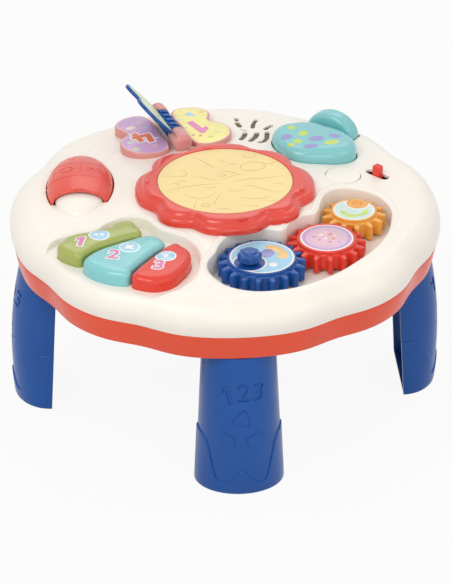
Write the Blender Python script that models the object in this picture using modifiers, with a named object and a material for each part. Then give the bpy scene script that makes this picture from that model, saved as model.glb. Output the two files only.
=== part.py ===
"""Musical activity table: a round toy table on four legs, with a drum pad, three keys,
a train of three meshing gears with a crank, a turning page, push buttons and a slide switch.

Metres, +Z up. The origin is on the floor, under the centre of the table top. One leg stands
on each side of the origin, along X and along Y, and -Y is the front.
"""
import math

import bmesh
import bpy
from mathutils import Matrix, Vector

# Fits and finish
SEAT_GAP = 0.0003          # between two pieces that rest on each other
RUN_GAP = 0.0002           # round a pin or a shaft
PRESS_GAP = 0.0008         # round a key or a button in its opening
OVERRUN = 0.002            # how far a cutter passes the face it opens
WELD = 0.00002             # points nearer than this are one
TURN_STEPS = 24            # sides of a round piece
SMALL_STEPS = 10           # sides of a screw or a pin
OUTLINE_STEPS = 2          # steps between two points of a drawn outline
EDGE_STEPS = 1             # steps of a rounded edge
SMOOTH_ANGLE = math.radians(35)
FLAT_ANGLE = math.radians(0.05)

# Table body
TABLE_RADIUS = 0.1702      # at the joint of the two casings
CASING_STEPS = 48
CASING_WALL = 0.0025
LEG_HEIGHT = 0.1193        # floor to the top of a leg
SKIRT_HEIGHT = 0.0215      # the coloured band under the joint
SKIRT_TAPER = 0.0040       # how much narrower the band is at its foot
PINCH_DEPTH = 0.0052       # how far the outline draws in beside each leg
PINCH_ANGLE = math.radians(28)
PINCH_WIDTH = math.radians(8.7)
PINCH_FADE = 0.030         # the pinch dies out over this length of the top
SHOULDER_WIDTH = 0.0200    # the rounded edge of the top, across
SHOULDER_HEIGHT = 0.0180   # and up
SHOULDER_BULGE = 0.0023    # how far the edge stands out over the joint
SHOULDER_RISE = 0.0099     # from the joint to the widest place
SHOULDER_STEPS = 4
CROWN_RISE = 0.0062        # from the shoulder to the drum's seat
DRUM_SEAT_RADIUS = 0.0720
DRUM_HOLE_RADIUS = 0.0490
LIP_HEIGHT = 0.0045        # the lower casing's tongue inside the upper one

SKIRT_FOOT = LEG_HEIGHT + SEAT_GAP
JOINT_HEIGHT = SKIRT_FOOT + SKIRT_HEIGHT
FLOOR_TOP = SKIRT_FOOT + CASING_WALL
WIDEST_RADIUS = TABLE_RADIUS + SHOULDER_BULGE
WIDEST_HEIGHT = JOINT_HEIGHT + SEAT_GAP + SHOULDER_RISE
CROWN_EDGE = WIDEST_RADIUS - SHOULDER_WIDTH
CROWN_FOOT = WIDEST_HEIGHT + SHOULDER_HEIGHT
DRUM_SEAT = CROWN_FOOT + CROWN_RISE

# Shares of the way from the crown's edge to the drum's seat, and of the rise on that way
CROWN_SHARES = ((1.00, 1.00), (0.82, 0.60), (0.50, 0.22), (0.00, 0.00))

# Legs
LEG_WIDTH_TOP = 0.0580
LEG_WIDTH_FOOT = 0.0690
LEG_REACH_TOP = 0.1655     # outer face from the table's axis
LEG_REACH_MIDDLE = 0.1738
LEG_REACH_FOOT = 0.1716
LEG_BACK_TOP = 0.1370      # open back from the table's axis
LEG_BACK_FOOT = 0.1437
LEG_WALL = 0.0024
LEG_ARC_STEPS = 12
SHOE_PROUD = 0.0011        # how far the shoe stands out of the leg
SHOE_HEIGHT = 0.0660       # its edge at the sides
SHOE_DIP = 0.0520          # how far its edge dips in front
SHOE_PEAK = 0.0100         # the rise between the two dips
SHOE_STEP = 0.0010
SHOE_EDGE = 0.0016         # rounding at the floor
TENON_WIDTH = 0.0340
TENON_DEPTH = 0.0110
TENON_HEIGHT = 0.0115
TENON_REACH = 0.1500       # its middle from the table's axis
TENON_CORNER = 0.0030
SOCKET_WALL = 0.0020
LEG_TURNS = {"leg_front": 0, "leg_right": 1, "leg_back": 2, "leg_left": 3}

# Drum
RING_RADIUS = 0.0722
RING_HEIGHT = 0.0108
RING_PINCH = 0.0062
PAD_RADIUS = 0.0539
PAD_GAP = 0.0005
PAD_THICKNESS = 0.0032
PAD_RIM = 0.0024           # height of the pad's downward rim
PAD_TRAVEL = 0.0015
PAD_STEM_RADIUS = 0.0050
RING_SHELF = 0.0024        # the ring's inner shelf that carries the pad
RING_SHELF_WIDTH = 0.0036

# Gears: module, teeth and places
MODULE = 0.0035
TEETH = {"blue": 18, "red": 16, "yellow": 13}
FIRST_GEAR = (0.0214, -0.0966)
TRAIN_ANGLES = (math.radians(26.5), math.radians(59.0))
PRESSURE_ANGLE = math.radians(20)
ADDENDUM = 0.8 * MODULE
DEDENDUM = 1.0 * MODULE
BACKLASH = 0.0005
TRAY_DEPTH = 0.0170        # below the gears' faces
GEAR_LIFT = 0.0015         # the gears stand this far over the tray's floor
GEAR_BEVEL = 0.0012        # at the top of each tooth
GEAR_FACE_RISE = 0.0020    # the round face stands over the teeth
GEAR_FACE_INSET = 0.0011   # inside the root circle
GEAR_WEB = 0.0060
GEAR_RIM = 0.0030
GEAR_HUB_RADIUS = 0.0062
GEAR_TOP = CROWN_FOOT + 0.0007
PIN_RADIUS = 0.0029
PIN_HEAD_RADIUS = 0.0050
PIN_HEAD_HEIGHT = 0.0015
KNOB_PLACE = (-0.0104, -0.0083)
KNOB_RADIUS = 0.0088
KNOB_FLUTE = 0.0007
KNOB_FLUTES = 8
KNOB_HEIGHT = 0.0095
KNOB_TOP_RADIUS = 0.0056
KNOB_BEVEL = 0.0022
KNOB_NECK_RADIUS = 0.0052
KNOB_NECK = 0.0012
KNOB_PIN_RADIUS = 0.0020
KNOB_PIN_DEPTH = 0.0045
DIMPLE_PLACE = (0.0039, 0.0108)
DIMPLE_RADIUS = 0.0045
DIMPLE_DEPTH = 0.0020
TRAY_ROOM = 0.0018         # from the tips of the gears to the tray's wall
TRAY_STEP = 0.0006         # the tray's wall stands inside its rim
TRAY_BRIDGE = 0.0008       # from the gears' faces to the crown that reaches over them
# The rim of the tray in shares of the span from the first gear to the last, along that
# line and to its left
RIM_SHARES = (
    (-0.379, 0.190), (-0.240, 0.262), (-0.071, 0.285), (0.084, 0.225), (0.233, 0.150),
    (0.396, 0.112), (0.565, 0.100), (0.729, 0.133), (0.858, 0.208), (1.000, 0.286),
    (1.160, 0.278), (1.275, 0.120), (1.245, -0.120), (1.065, -0.315), (0.800, -0.460),
    (0.460, -0.530), (0.100, -0.528), (-0.250, -0.410), (-0.450, -0.180), (-0.455, 0.030))

# Keys, in shares of the bank's size about its place
KEY_BANK = (-0.0850, -0.0920)
KEY_BANK_SIZE = 0.1000
KEY_TOP = CROWN_FOOT + 0.0069
KEY_EDGE = 0.0042
KEY_TRAVEL = 0.0020
KEY_RECESS = CROWN_FOOT - 0.0048   # height of the recess floor round the keys
KEY_GAP = 0.0003
KEY_LIP = 0.0006
KEY_WALL = 0.0020
KEY_SHARES = {
    "green": ((-0.520, 0.170), (-0.485, 0.245), (-0.410, 0.325), (-0.310, 0.365),
              (-0.205, 0.385), (-0.120, 0.415), (-0.030, 0.520), (0.065, 0.530),
              (0.125, 0.440), (0.140, 0.310), (0.030, 0.258), (-0.105, 0.190),
              (-0.235, 0.105), (-0.305, 0.030), (-0.345, -0.008), (-0.425, 0.030),
              (-0.490, 0.095)),
    "teal": ((-0.325, -0.075), (-0.285, 0.008), (-0.220, 0.076), (-0.096, 0.156),
             (0.038, 0.226), (0.155, 0.278), (0.235, 0.282), (0.295, 0.230),
             (0.320, 0.150), (0.225, 0.020), (0.125, -0.115), (0.045, -0.235),
             (0.010, -0.325), (-0.070, -0.322), (-0.150, -0.290), (-0.230, -0.235),
             (-0.295, -0.160)),
    "red": ((0.352, 0.128), (0.398, 0.150), (0.450, 0.105), (0.500, 0.030),
            (0.512, -0.060), (0.480, -0.180), (0.420, -0.290), (0.355, -0.380),
            (0.300, -0.418), (0.205, -0.440), (0.112, -0.412), (0.038, -0.353),
            (0.071, -0.245), (0.151, -0.125), (0.251, 0.005)),
}
RECESS_SHARES = (
    (-0.600, 0.130), (-0.560, 0.320), (-0.380, 0.425), (-0.200, 0.470), (-0.110, 0.565),
    (0.040, 0.622), (0.180, 0.560), (0.290, 0.385), (0.480, 0.235), (0.575, 0.060),
    (0.565, -0.150), (0.460, -0.390), (0.290, -0.525), (0.050, -0.525), (-0.220, -0.405),
    (-0.460, -0.160))

# Shell button, an oval dome over a fixed nose
SHELL_PLACE = (-0.1150, 0.0265)
SHELL_TURN = math.radians(-3.8)
SHELL_WIDTH = 0.0534
SHELL_LENGTH = 0.0960
SHELL_RISE = 0.0146
SHELL_BASE = CROWN_FOOT + 0.0007   # height of the dome's widest section
SHELL_FRONT = 0.0270       # from its middle to its open front
SHELL_WALL = 0.0018
SHELL_SKIRT = 0.0060
SHELL_LIP = 0.0012
SHELL_TRAVEL = 0.0015
NOSE_WIDTH = 0.0450
NOSE_RISE = 0.0100
NOSE_TUCK = 0.0075         # how far the nose reaches under the shell

# Domed push buttons
DOME_TRAVEL = 0.0018
DOME_LIP = 0.0012
DOME_WALL = 0.0020
DOME_STEPS = 5
SPOTTED_PLACE = (0.0800, 0.0800)
SPOTTED_SIZE = 0.0660
SPOTTED_TOP = CROWN_FOOT + 0.0145
SPOTTED_EDGE = 0.0080
SPOTTED_SHARES = (
    (-0.360, -0.370), (-0.230, -0.450), (0.000, -0.465), (0.260, -0.455), (0.410, -0.390),
    (0.485, -0.270), (0.490, -0.130), (0.420, 0.050), (0.305, 0.190), (0.150, 0.310),
    (0.010, 0.400), (-0.200, 0.410), (-0.390, 0.360), (-0.500, 0.230), (-0.515, 0.030),
    (-0.450, -0.200))
FIN_REACH = 0.1462         # from the table's axis
FIN_ANGLE = math.radians(48.1)
FIN_TURN = math.radians(-36.0)
FIN_WIDTH = 0.0440
FIN_DEPTH = 0.0150
FIN_RISE = 0.0185
FIN_SKIRT = 0.0085
FIN_EDGE = 0.0045
FIN_STEPS = 8
ROUND_PLACE = (0.0980, 0.0300)
ROUND_RADIUS = 0.0142
ROUND_TRAVEL = 0.0012

# Slide switch
SWITCH_PLACE = (0.1262, 0.0315)
SWITCH_ANGLE = math.radians(-45)
SLOT_LENGTH = 0.0215
SLOT_WIDTH = 0.0078
LEVER_LENGTH = 0.0072
LEVER_WIDTH = 0.0066
LEVER_RISE = 0.0080
LEVER_PLATE = 0.0014
LEVER_TRAVEL = 0.0045

# Grille and speaker
GRILLE_RADII = (0.1020, 0.1205, 0.1375)
GRILLE_ANGLES = tuple(math.radians(a) for a in (80.5, 72.0, 63.5))
GRILLE_SLOT = (0.0038, 0.0135)
GRILLE_LEAN = math.radians(16)
SPEAKER_PLACE = (0.0320, 0.1150)
SPEAKER_RADIUS = 0.0165
SPEAKER_FRAME = 0.0050
SPEAKER_MAGNET_RADIUS = 0.0095
SPEAKER_MAGNET = 0.0080
SPEAKER_DROP = 0.0075      # frame's face below the crown's edge
COLLAR_WALL = 0.0018

# Flip book, placed along a line out from the table's axis
BOOK_ANGLE = math.radians(106.4)
BOOK_OFFSET = 0.0050       # its hinge to the left of that line
BOOK_AXIS_HEIGHT = CROWN_FOOT + 0.0101
BOARD_TOP = CROWN_FOOT + 0.0079
BOARD_EDGE = 0.0014
BOOK_START = 0.0800        # nearest point of the boards from the table's axis
BOOK_SIZE = 0.0680
# Shares of the book's size, along its hinge and away from it
BOARD_SHARES = (
    (0.110, 0.155), (0.020, 0.210), (-0.005, 0.400), (0.070, 0.540), (0.220, 0.625),
    (0.400, 0.615), (0.530, 0.535), (0.605, 0.460), (0.680, 0.540), (0.800, 0.585),
    (0.930, 0.520), (0.995, 0.390), (0.985, 0.220), (0.900, 0.155), (0.500, 0.148))
PAGE_SHARES = (
    (0.315, 0.040), (0.315, 0.150), (0.130, 0.165), (0.040, 0.300), (0.060, 0.460),
    (0.160, 0.600), (0.310, 0.665), (0.460, 0.640), (0.575, 0.590), (0.660, 0.660),
    (0.790, 0.680), (0.900, 0.600), (0.950, 0.440), (0.925, 0.250), (0.870, 0.160),
    (0.775, 0.145), (0.775, 0.040))
PAGE_THICKNESS = 0.0030
PAGE_REST = math.radians(48)
HUB_RADIUS = 0.0058
HUB_RIB = 0.0007
HUB_RIBS = 5
HUB_START = 0.0990
HUB_END = 0.1350
BARREL_RADIUS = 0.0082
BARREL_START = 0.0800
BARREL_BACK_RADIUS = 0.0072
BARREL_END = 0.1500
BOOK_PIN_RADIUS = 0.0016
BOOK_PIN_DEPTH = 0.0090    # how far the pin goes into each barrel

# Battery box, door and cells
CELL_RADIUS = 0.0071
CELL_LENGTH = 0.0495
CELL_NIB_RADIUS = 0.0026
CELL_NIB = 0.0010
CELLS = 3
BOX_WALL = 0.0020
DOOR_THICKNESS = 0.0024
DOOR_MARGIN = 0.0035
DOOR_TAB = 0.0090          # the door's extra length at its screw
DOOR_CORNER = 0.0040

# Circuit board on its pillars
BOARD_SIZE = (0.0720, 0.0560)
BOARD_THICKNESS = 0.0016
BOARD_LIFT = 0.0045
BOARD_CORNER = 0.0025
PILLAR_RADIUS = 0.0026
CONTACT_RADIUS = 0.0060
CONTACT_HEIGHT = 0.0035

# Screws
SCREW_RADIUS = 0.0015
SCREW_HEAD_RADIUS = 0.0034
SCREW_HEAD = 0.0020
SCREW_LENGTH = 0.0120
SCREW_REACH = 0.1480
SCREW_ANGLES = tuple(math.radians(a) for a in (20, 110, 200, 290))
BOSS_RADIUS = 0.0045
COUNTERBORE = 0.0054

# Colours: red, green, blue, then roughness and metallic value
FINISHES = {
    "cream_plastic": (0.90, 0.84, 0.76, 0.35, 0.0),
    "skirt_red": (0.69, 0.08, 0.04, 0.28, 0.0),
    "bright_red": (0.75, 0.05, 0.03, 0.25, 0.0),
    "leg_blue": (0.013, 0.07, 0.28, 0.30, 0.0),
    "teal_plastic": (0.20, 0.58, 0.58, 0.30, 0.0),
    "green_plastic": (0.38, 0.43, 0.09, 0.30, 0.0),
    "pad_yellow": (0.95, 0.75, 0.36, 0.50, 0.0),
    "gear_orange": (0.83, 0.38, 0.05, 0.30, 0.0),
    "book_pink": (0.68, 0.29, 0.26, 0.35, 0.0),
    "white_plastic": (0.93, 0.91, 0.86, 0.35, 0.0),
    "steel": (0.60, 0.60, 0.62, 0.30, 1.0),
    "speaker_black": (0.03, 0.03, 0.03, 0.60, 0.0),
    "board_green": (0.02, 0.16, 0.06, 0.50, 0.0),
    "cell_wrap": (0.10, 0.10, 0.11, 0.40, 0.3),
}


# Scene, collections and materials

def clear_scene():
    for item in list(bpy.data.objects):
        bpy.data.objects.remove(item, do_unlink=True)


def new_collection(name):
    group = bpy.data.collections.new(name)
    bpy.context.scene.collection.children.link(group)
    return group


def make_material(name):
    red, green, blue, roughness, metallic = FINISHES[name]
    material = bpy.data.materials.new(name)
    material.use_nodes = True
    shader = material.node_tree.nodes["Principled BSDF"]
    shader.inputs["Base Color"].default_value = (red, green, blue, 1.0)
    shader.inputs["Roughness"].default_value = roughness
    shader.inputs["Metallic"].default_value = metallic
    material.diffuse_color = (red, green, blue, 1.0)
    return material


clear_scene()
PIECES = new_collection("musical_activity_table")
CUTTERS = new_collection("cutters")
ROOT = bpy.data.objects.new("activity_table", None)
PIECES.objects.link(ROOT)
MATERIALS = {name: make_material(name) for name in FINISHES}


# Mesh tools

def add_object(name, mesh, group=None):
    item = bpy.data.objects.new(name, mesh)
    (group or CUTTERS).objects.link(item)
    return item


def mesh_from(name, bm):
    """Weld a bmesh, turn its faces outwards and keep it as a mesh."""
    bmesh.ops.remove_doubles(bm, verts=bm.verts, dist=WELD)
    bmesh.ops.recalc_face_normals(bm, faces=bm.faces)
    mesh = bpy.data.meshes.new(name)
    bm.to_mesh(mesh)
    bm.free()
    return mesh


def bake(item):
    """Replace an object's mesh by what its modifiers make of it, flat faces made whole."""
    bpy.context.view_layer.update()
    seen = item.evaluated_get(bpy.context.evaluated_depsgraph_get())
    bm = bmesh.new()
    bm.from_mesh(bpy.data.meshes.new_from_object(seen))
    bmesh.ops.dissolve_limit(bm, angle_limit=FLAT_ANGLE, verts=bm.verts, edges=bm.edges)
    item.modifiers.clear()
    item.data = mesh_from(item.name, bm)
    return item


def boolean(item, other, operation):
    step = item.modifiers.new(other.name, "BOOLEAN")
    step.solver = "EXACT"
    step.operation = operation
    step.object = other
    other.hide_render = True
    other.display_type = "WIRE"


def cut(item, other):
    boolean(item, other, "DIFFERENCE")


def join(item, other):
    boolean(item, other, "UNION")


def keep_inside(item, other):
    boolean(item, other, "INTERSECT")


def finish(item, material):
    """Move a piece to the table's collection, under its root, with its material."""
    CUTTERS.objects.unlink(item)
    PIECES.objects.link(item)
    item.parent = ROOT
    item.data.materials.clear()
    item.data.materials.append(MATERIALS[material])
    item.data.shade_smooth()
    item.data.set_sharp_from_angle(angle=SMOOTH_ANGLE)
    return item


def set_origin(item, place):
    """Put an object's origin on its joint axis and leave its shape where it is."""
    item.data.transform(Matrix.Translation(-Vector(place)))
    item.location = place


def joined(name, items):
    """One cutter object out of several that don't touch."""
    bm = bmesh.new()
    for item in items:
        bake(item)
        item.data.transform(item.matrix_world)
        bm.from_mesh(item.data)
        bpy.data.objects.remove(item, do_unlink=True)
    return add_object(name, mesh_from(name, bm))


def box(name, low, high):
    bm = bmesh.new()
    bmesh.ops.create_cube(bm, size=1.0)
    size = [b - a for a, b in zip(low, high)]
    middle = [(a + b) / 2 for a, b in zip(low, high)]
    bmesh.ops.scale(bm, verts=bm.verts, vec=size)
    bmesh.ops.translate(bm, verts=bm.verts, vec=middle)
    return add_object(name, mesh_from(name, bm))


def cylinder(name, place, radius, bottom, top, steps=TURN_STEPS):
    bm = bmesh.new()
    bmesh.ops.create_cone(bm, cap_ends=True, segments=steps, radius1=radius, radius2=radius,
                          depth=top - bottom)
    bmesh.ops.translate(bm, verts=bm.verts, vec=(place[0], place[1], (top + bottom) / 2))
    return add_object(name, mesh_from(name, bm))


def ball(name, place, radius):
    bm = bmesh.new()
    bmesh.ops.create_uvsphere(bm, u_segments=SMALL_STEPS, v_segments=SMALL_STEPS // 2,
                              radius=radius)
    bmesh.ops.translate(bm, verts=bm.verts, vec=place)
    return add_object(name, mesh_from(name, bm))


def turned(name, profile, steps=TURN_STEPS, closed=False):
    """Turn a profile of (radius, height) about the Z axis; closed is for a ring's section."""
    bm = bmesh.new()
    spots = [bm.verts.new((radius, 0.0, height)) for radius, height in profile]
    for first, second in zip(spots, spots[1:]):
        bm.edges.new((first, second))
    if closed:
        bm.edges.new((spots[-1], spots[0]))
    mesh = bpy.data.meshes.new(name)
    bm.to_mesh(mesh)
    bm.free()
    item = add_object(name, mesh)
    screw = item.modifiers.new("turn", "SCREW")
    screw.axis = "Z"
    screw.steps = steps
    screw.render_steps = steps
    screw.use_merge_vertices = True
    screw.merge_threshold = WELD
    return bake(item)


def outline_solid(name, points, bottom, top, grow=0.0, edge=0.0, curved=True,
                  steps=OUTLINE_STEPS):
    """Extrude a closed outline between two heights; edge rounds its rims."""
    curve = bpy.data.curves.new(name, "CURVE")
    curve.dimensions = "2D"
    curve.fill_mode = "BOTH"
    curve.resolution_u = steps
    spline = curve.splines.new("BEZIER")
    spline.bezier_points.add(len(points) - 1)
    for spot, (x, y) in zip(spline.bezier_points, points):
        spot.co = (x, y, 0.0)
        spot.handle_left_type = "AUTO" if curved else "VECTOR"
        spot.handle_right_type = "AUTO" if curved else "VECTOR"
    spline.use_cyclic_u = True
    spline.resolution_u = steps if curved else 1
    curve.bevel_depth = edge
    curve.bevel_resolution = EDGE_STEPS
    curve.extrude = (top - bottom) / 2 - edge
    curve.offset = grow - edge
    shape = bpy.data.objects.new(name, curve)
    CUTTERS.objects.link(shape)
    bpy.context.view_layer.update()
    seen = shape.evaluated_get(bpy.context.evaluated_depsgraph_get())
    bm = bmesh.new()
    bm.from_mesh(bpy.data.meshes.new_from_object(seen))
    bmesh.ops.translate(bm, verts=bm.verts, vec=(0.0, 0.0, (top + bottom) / 2))
    bpy.data.objects.remove(shape, do_unlink=True)
    return add_object(name, mesh_from(name, bm))


def rounded_box_outline(width, depth, corner, place=(0.0, 0.0), steps=3):
    """Corners as arcs, counter-clockwise."""
    points = []
    for quarter, (sx, sy) in enumerate(((1, 1), (-1, 1), (-1, -1), (1, -1))):
        centre = (place[0] + sx * (width / 2 - corner), place[1] + sy * (depth / 2 - corner))
        for step in range(steps + 1):
            angle = math.pi / 2 * (quarter + step / steps)
            points.append((centre[0] + corner * math.cos(angle),
                           centre[1] + corner * math.sin(angle)))
    return points


def loft(name, rings):
    """Skin a stack of rings with equal counts of points and cap both ends."""
    bm = bmesh.new()
    rows = [[bm.verts.new(point) for point in ring] for ring in rings]
    count = len(rows[0])
    for lower, upper in zip(rows, rows[1:]):
        for i in range(count):
            j = (i + 1) % count
            bm.faces.new((lower[i], lower[j], upper[j], upper[i]))
    bm.faces.new(rows[0])
    bm.faces.new(rows[-1])
    return add_object(name, mesh_from(name, bm))


def polar(radius, angle):
    return (radius * math.cos(angle), radius * math.sin(angle))


def turn_about(item, angle, place=(0.0, 0.0, 0.0)):
    spot = Vector(place)
    item.data.transform(Matrix.Translation(spot) @ Matrix.Rotation(angle, 4, "Z")
                        @ Matrix.Translation(-spot))


# Table outline and crown

def pinch(angle):
    """0 on a lobe of the outline, 1 at the bottom of a pinch."""
    total = 0.0
    for quarter in range(4):
        for side in (-1, 1):
            centre = quarter * math.pi / 2 + side * PINCH_ANGLE
            away = math.remainder(angle - centre, 2 * math.pi)
            total += math.exp(-(away / PINCH_WIDTH) ** 2)
    return total


def fade(value, start, length):
    share = min(max((value - start) / length, 0.0), 1.0)
    return share * share * (3 - 2 * share)


def draw_in(item, depth, start, length):
    """Pull a turned piece in at the pinches, fully past start + length from the axis."""
    for spot in item.data.vertices:
        radius = math.hypot(spot.co.x, spot.co.y)
        if radius > 0.0:
            angle = math.atan2(spot.co.y, spot.co.x)
            inward = depth * fade(radius, start, length) * pinch(angle)
            spot.co.x -= inward * math.cos(angle)
            spot.co.y -= inward * math.sin(angle)


def pinch_table(item):
    draw_in(item, PINCH_DEPTH, CROWN_EDGE - PINCH_FADE / 2, PINCH_FADE)


def crown_points():
    """The crown from the drum's seat out to the shoulder, as (radius, height)."""
    span = CROWN_EDGE - DRUM_SEAT_RADIUS
    return [(CROWN_EDGE - span * along, CROWN_FOOT + CROWN_RISE * up)
            for along, up in CROWN_SHARES]


def crown_height(radius):
    """Height of the table's surface at a distance from its axis."""
    points = [(0.0, DRUM_SEAT)] + crown_points() + [(WIDEST_RADIUS, CROWN_FOOT)]
    for (r0, z0), (r1, z1) in zip(points, points[1:]):
        if r0 <= radius <= r1:
            return z0 + (z1 - z0) * (radius - r0) / (r1 - r0)
    return CROWN_FOOT


def surface_at(place, reach=0.0):
    """Height of the surface at a place, or lower down the slope by a reach outwards."""
    return crown_height(math.hypot(*place) + reach)


def shoulder_points():
    """The rounded edge, from the crown down to the widest place."""
    points = []
    for step in range(1, SHOULDER_STEPS + 1):
        angle = math.pi / 2 * (1 - step / SHOULDER_STEPS)
        points.append((CROWN_EDGE + SHOULDER_WIDTH * math.cos(angle),
                       WIDEST_HEIGHT + SHOULDER_HEIGHT * math.sin(angle)))
    return points


def upper_body(name, inset, bottom):
    """A solid body under the crown, inset from the surface."""
    profile = [(0.0, DRUM_SEAT - inset)]
    profile += [(radius, height - inset) for radius, height in crown_points()]
    profile += [(radius - inset, height - inset) for radius, height in shoulder_points()[:-1]]
    profile += [(WIDEST_RADIUS - inset, WIDEST_HEIGHT), (TABLE_RADIUS - inset, bottom),
                (0.0, bottom)]
    body = turned(name, profile, CASING_STEPS)
    pinch_table(body)
    return body


def crown_stamp(name, lift=SEAT_GAP):
    """A body whose top is the table's surface, for cutting what rests on it."""
    return upper_body(name, -lift, JOINT_HEIGHT)


# Outlines in the table's frame

def key_outline(name):
    return [(KEY_BANK[0] + KEY_BANK_SIZE * x, KEY_BANK[1] + KEY_BANK_SIZE * y)
            for x, y in KEY_SHARES[name]][::-1]


def recess_outline():
    return [(KEY_BANK[0] + KEY_BANK_SIZE * x, KEY_BANK[1] + KEY_BANK_SIZE * y)
            for x, y in RECESS_SHARES][::-1]


def pitch_radius(colour):
    return MODULE * TEETH[colour] / 2


def gear_places():
    """Centres of the three gears, from the module, the teeth and the train's two angles."""
    names = list(TEETH)
    places = {names[0]: FIRST_GEAR}
    for before, after, angle in zip(names, names[1:], TRAIN_ANGLES):
        step = pitch_radius(before) + pitch_radius(after)
        x, y = places[before]
        places[after] = (x + step * math.cos(angle), y + step * math.sin(angle))
    return places


GEARS = gear_places()
TRAY_FLOOR = GEAR_TOP - TRAY_DEPTH


def rim_outline():
    first = Vector(GEARS["blue"])
    span = Vector(GEARS["yellow"]) - first
    left = Vector((-span.y, span.x))
    return [tuple(first + span * along + left * aside)
            for along, aside in RIM_SHARES][::-1]


def tray_outline():
    """The tray under its rim, which stays clear of the gears' tips."""
    points = []
    rim = rim_outline()
    halfway = [((x0 + x1) / 2, (y0 + y1) / 2) for (x0, y0), (x1, y1) in zip(rim, rim[1:] + rim[:1])]
    for spot in [place for pair in zip(rim, halfway) for place in pair]:
        for colour, place in GEARS.items():
            reach = pitch_radius(colour) + ADDENDUM + TRAY_ROOM + TRAY_STEP
            away = Vector(spot) - Vector(place)
            if away.length < reach:
                spot = tuple(Vector(place) + away.normalized() * reach)
        points.append(spot)
    return points


def spotted_outline():
    return [(SPOTTED_PLACE[0] + SPOTTED_SIZE * x, SPOTTED_PLACE[1] + SPOTTED_SIZE * y)
            for x, y in SPOTTED_SHARES]


def oval_outline(place, width, depth, angle, steps=TURN_STEPS // 2):
    points = []
    for step in range(steps):
        turn = 2 * math.pi * step / steps
        x = width / 2 * math.cos(turn)
        y = depth / 2 * math.sin(turn)
        points.append((place[0] + x * math.cos(angle) - y * math.sin(angle),
                       place[1] + x * math.sin(angle) + y * math.cos(angle)))
    return points


FIN_PLACE = polar(FIN_REACH, FIN_ANGLE)


def slot_outline(place, width, length, angle):
    """A slot with round ends, its length along angle."""
    points = rounded_box_outline(length, width, width / 2 * 0.9, (0.0, 0.0), 1)
    return [(place[0] + x * math.cos(angle) - y * math.sin(angle),
             place[1] + x * math.sin(angle) + y * math.cos(angle)) for x, y in points]


def book_point(along, away):
    """A place on the table from a distance along the book's hinge and one to its left."""
    left = BOOK_OFFSET + away
    return (along * math.cos(BOOK_ANGLE) - left * math.sin(BOOK_ANGLE),
            along * math.sin(BOOK_ANGLE) + left * math.cos(BOOK_ANGLE))


# Casings

SHELL_EXIT = SHELL_BASE - SHELL_SKIRT
BOSS_FOOT = SKIRT_FOOT + COUNTERBORE + CASING_WALL + SEAT_GAP


def shell_dome(name, width, length, rise, skirt, lip=0.0, steps=TURN_STEPS):
    """An oval dome on a straight skirt, as a solid, about the shell's own middle."""
    profile = []
    quarter_steps = DOME_STEPS
    for step in range(quarter_steps + 1):
        angle = math.pi / 2 * (1 - step / quarter_steps)
        profile.append((math.cos(angle) * width / 2, rise * math.sin(angle)))
    profile[0] = (0.0, rise)
    if lip:
        profile += [(width / 2, -skirt + lip), (width / 2 + lip, -skirt + lip),
                    (width / 2 + lip, -skirt)]
    else:
        profile.append((width / 2, -skirt))
    profile.append((0.0, -skirt))
    dome = turned(name, profile, steps)
    dome.data.transform(Matrix.Diagonal((1.0, length / width, 1.0, 1.0)))
    return dome


def place_shell(item):
    spot = (SHELL_PLACE[0], SHELL_PLACE[1], SHELL_BASE)
    item.data.transform(Matrix.Translation(spot) @ Matrix.Rotation(SHELL_TURN, 4, "Z"))
    return item


def shell_opening():
    """The shell's way through the casing, which leaves the nose standing."""
    slot = outline_solid("shell_slot", oval_outline((0.0, 0.0), SHELL_WIDTH, SHELL_LENGTH, 0.0),
                         -SHELL_SKIRT - OVERRUN, SHELL_RISE, grow=PRESS_GAP)
    front = -SHELL_FRONT - PRESS_GAP
    keep_inside(slot, box("shell_slot_limit", (-SHELL_WIDTH, front, -SHELL_LENGTH),
                          (SHELL_WIDTH, SHELL_LENGTH, SHELL_LENGTH)))
    return place_shell(bake(slot))


def nose():
    """The fixed round nose that the shell closes on, open at its back."""
    skin = SHELL_WALL
    body = shell_dome("nose", NOSE_WIDTH, SHELL_LENGTH, NOSE_RISE, CASING_WALL / 2)
    room = shell_dome("nose_room", NOSE_WIDTH - 2 * skin, SHELL_LENGTH - 2 * skin,
                      NOSE_RISE - skin, CASING_WALL)
    room.data.transform(Matrix.Translation((0.0, 0.0, 0.0)))
    cut(body, room)
    back = -SHELL_FRONT + NOSE_TUCK
    keep_inside(body, box("nose_limit", (-SHELL_WIDTH, -SHELL_LENGTH, -SHELL_LENGTH),
                          (SHELL_WIDTH, back, SHELL_LENGTH)))
    return place_shell(bake(body))


def casing_cups(under_crown):
    """What hangs under the crown: tray, key recess, screw bosses and the speaker's collar."""
    cups = [
        outline_solid("tray_cup", tray_outline(), TRAY_FLOOR - CASING_WALL, DRUM_SEAT,
                      grow=CASING_WALL - TRAY_STEP, steps=1),
        outline_solid("recess_cup", recess_outline(), KEY_RECESS - CASING_WALL, DRUM_SEAT,
                      grow=CASING_WALL),
        cylinder("collar", SPEAKER_PLACE, SPEAKER_RADIUS + RUN_GAP + COLLAR_WALL,
                 CROWN_FOOT - SPEAKER_DROP - SPEAKER_FRAME, DRUM_SEAT, SMALL_STEPS * 2),
    ]
    for number, angle in enumerate(SCREW_ANGLES):
        cups.append(cylinder(f"boss_{number}", polar(SCREW_REACH, angle), BOSS_RADIUS,
                             BOSS_FOOT, CROWN_FOOT, SMALL_STEPS))
    for cup in cups:
        keep_inside(cup, under_crown)
        bake(cup)
    return cups


def place_fin(item):
    item.data.transform(Matrix.Translation((*FIN_PLACE, surface_at(FIN_PLACE)))
                        @ Matrix.Rotation(FIN_TURN, 4, "Z"))
    return item


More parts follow.
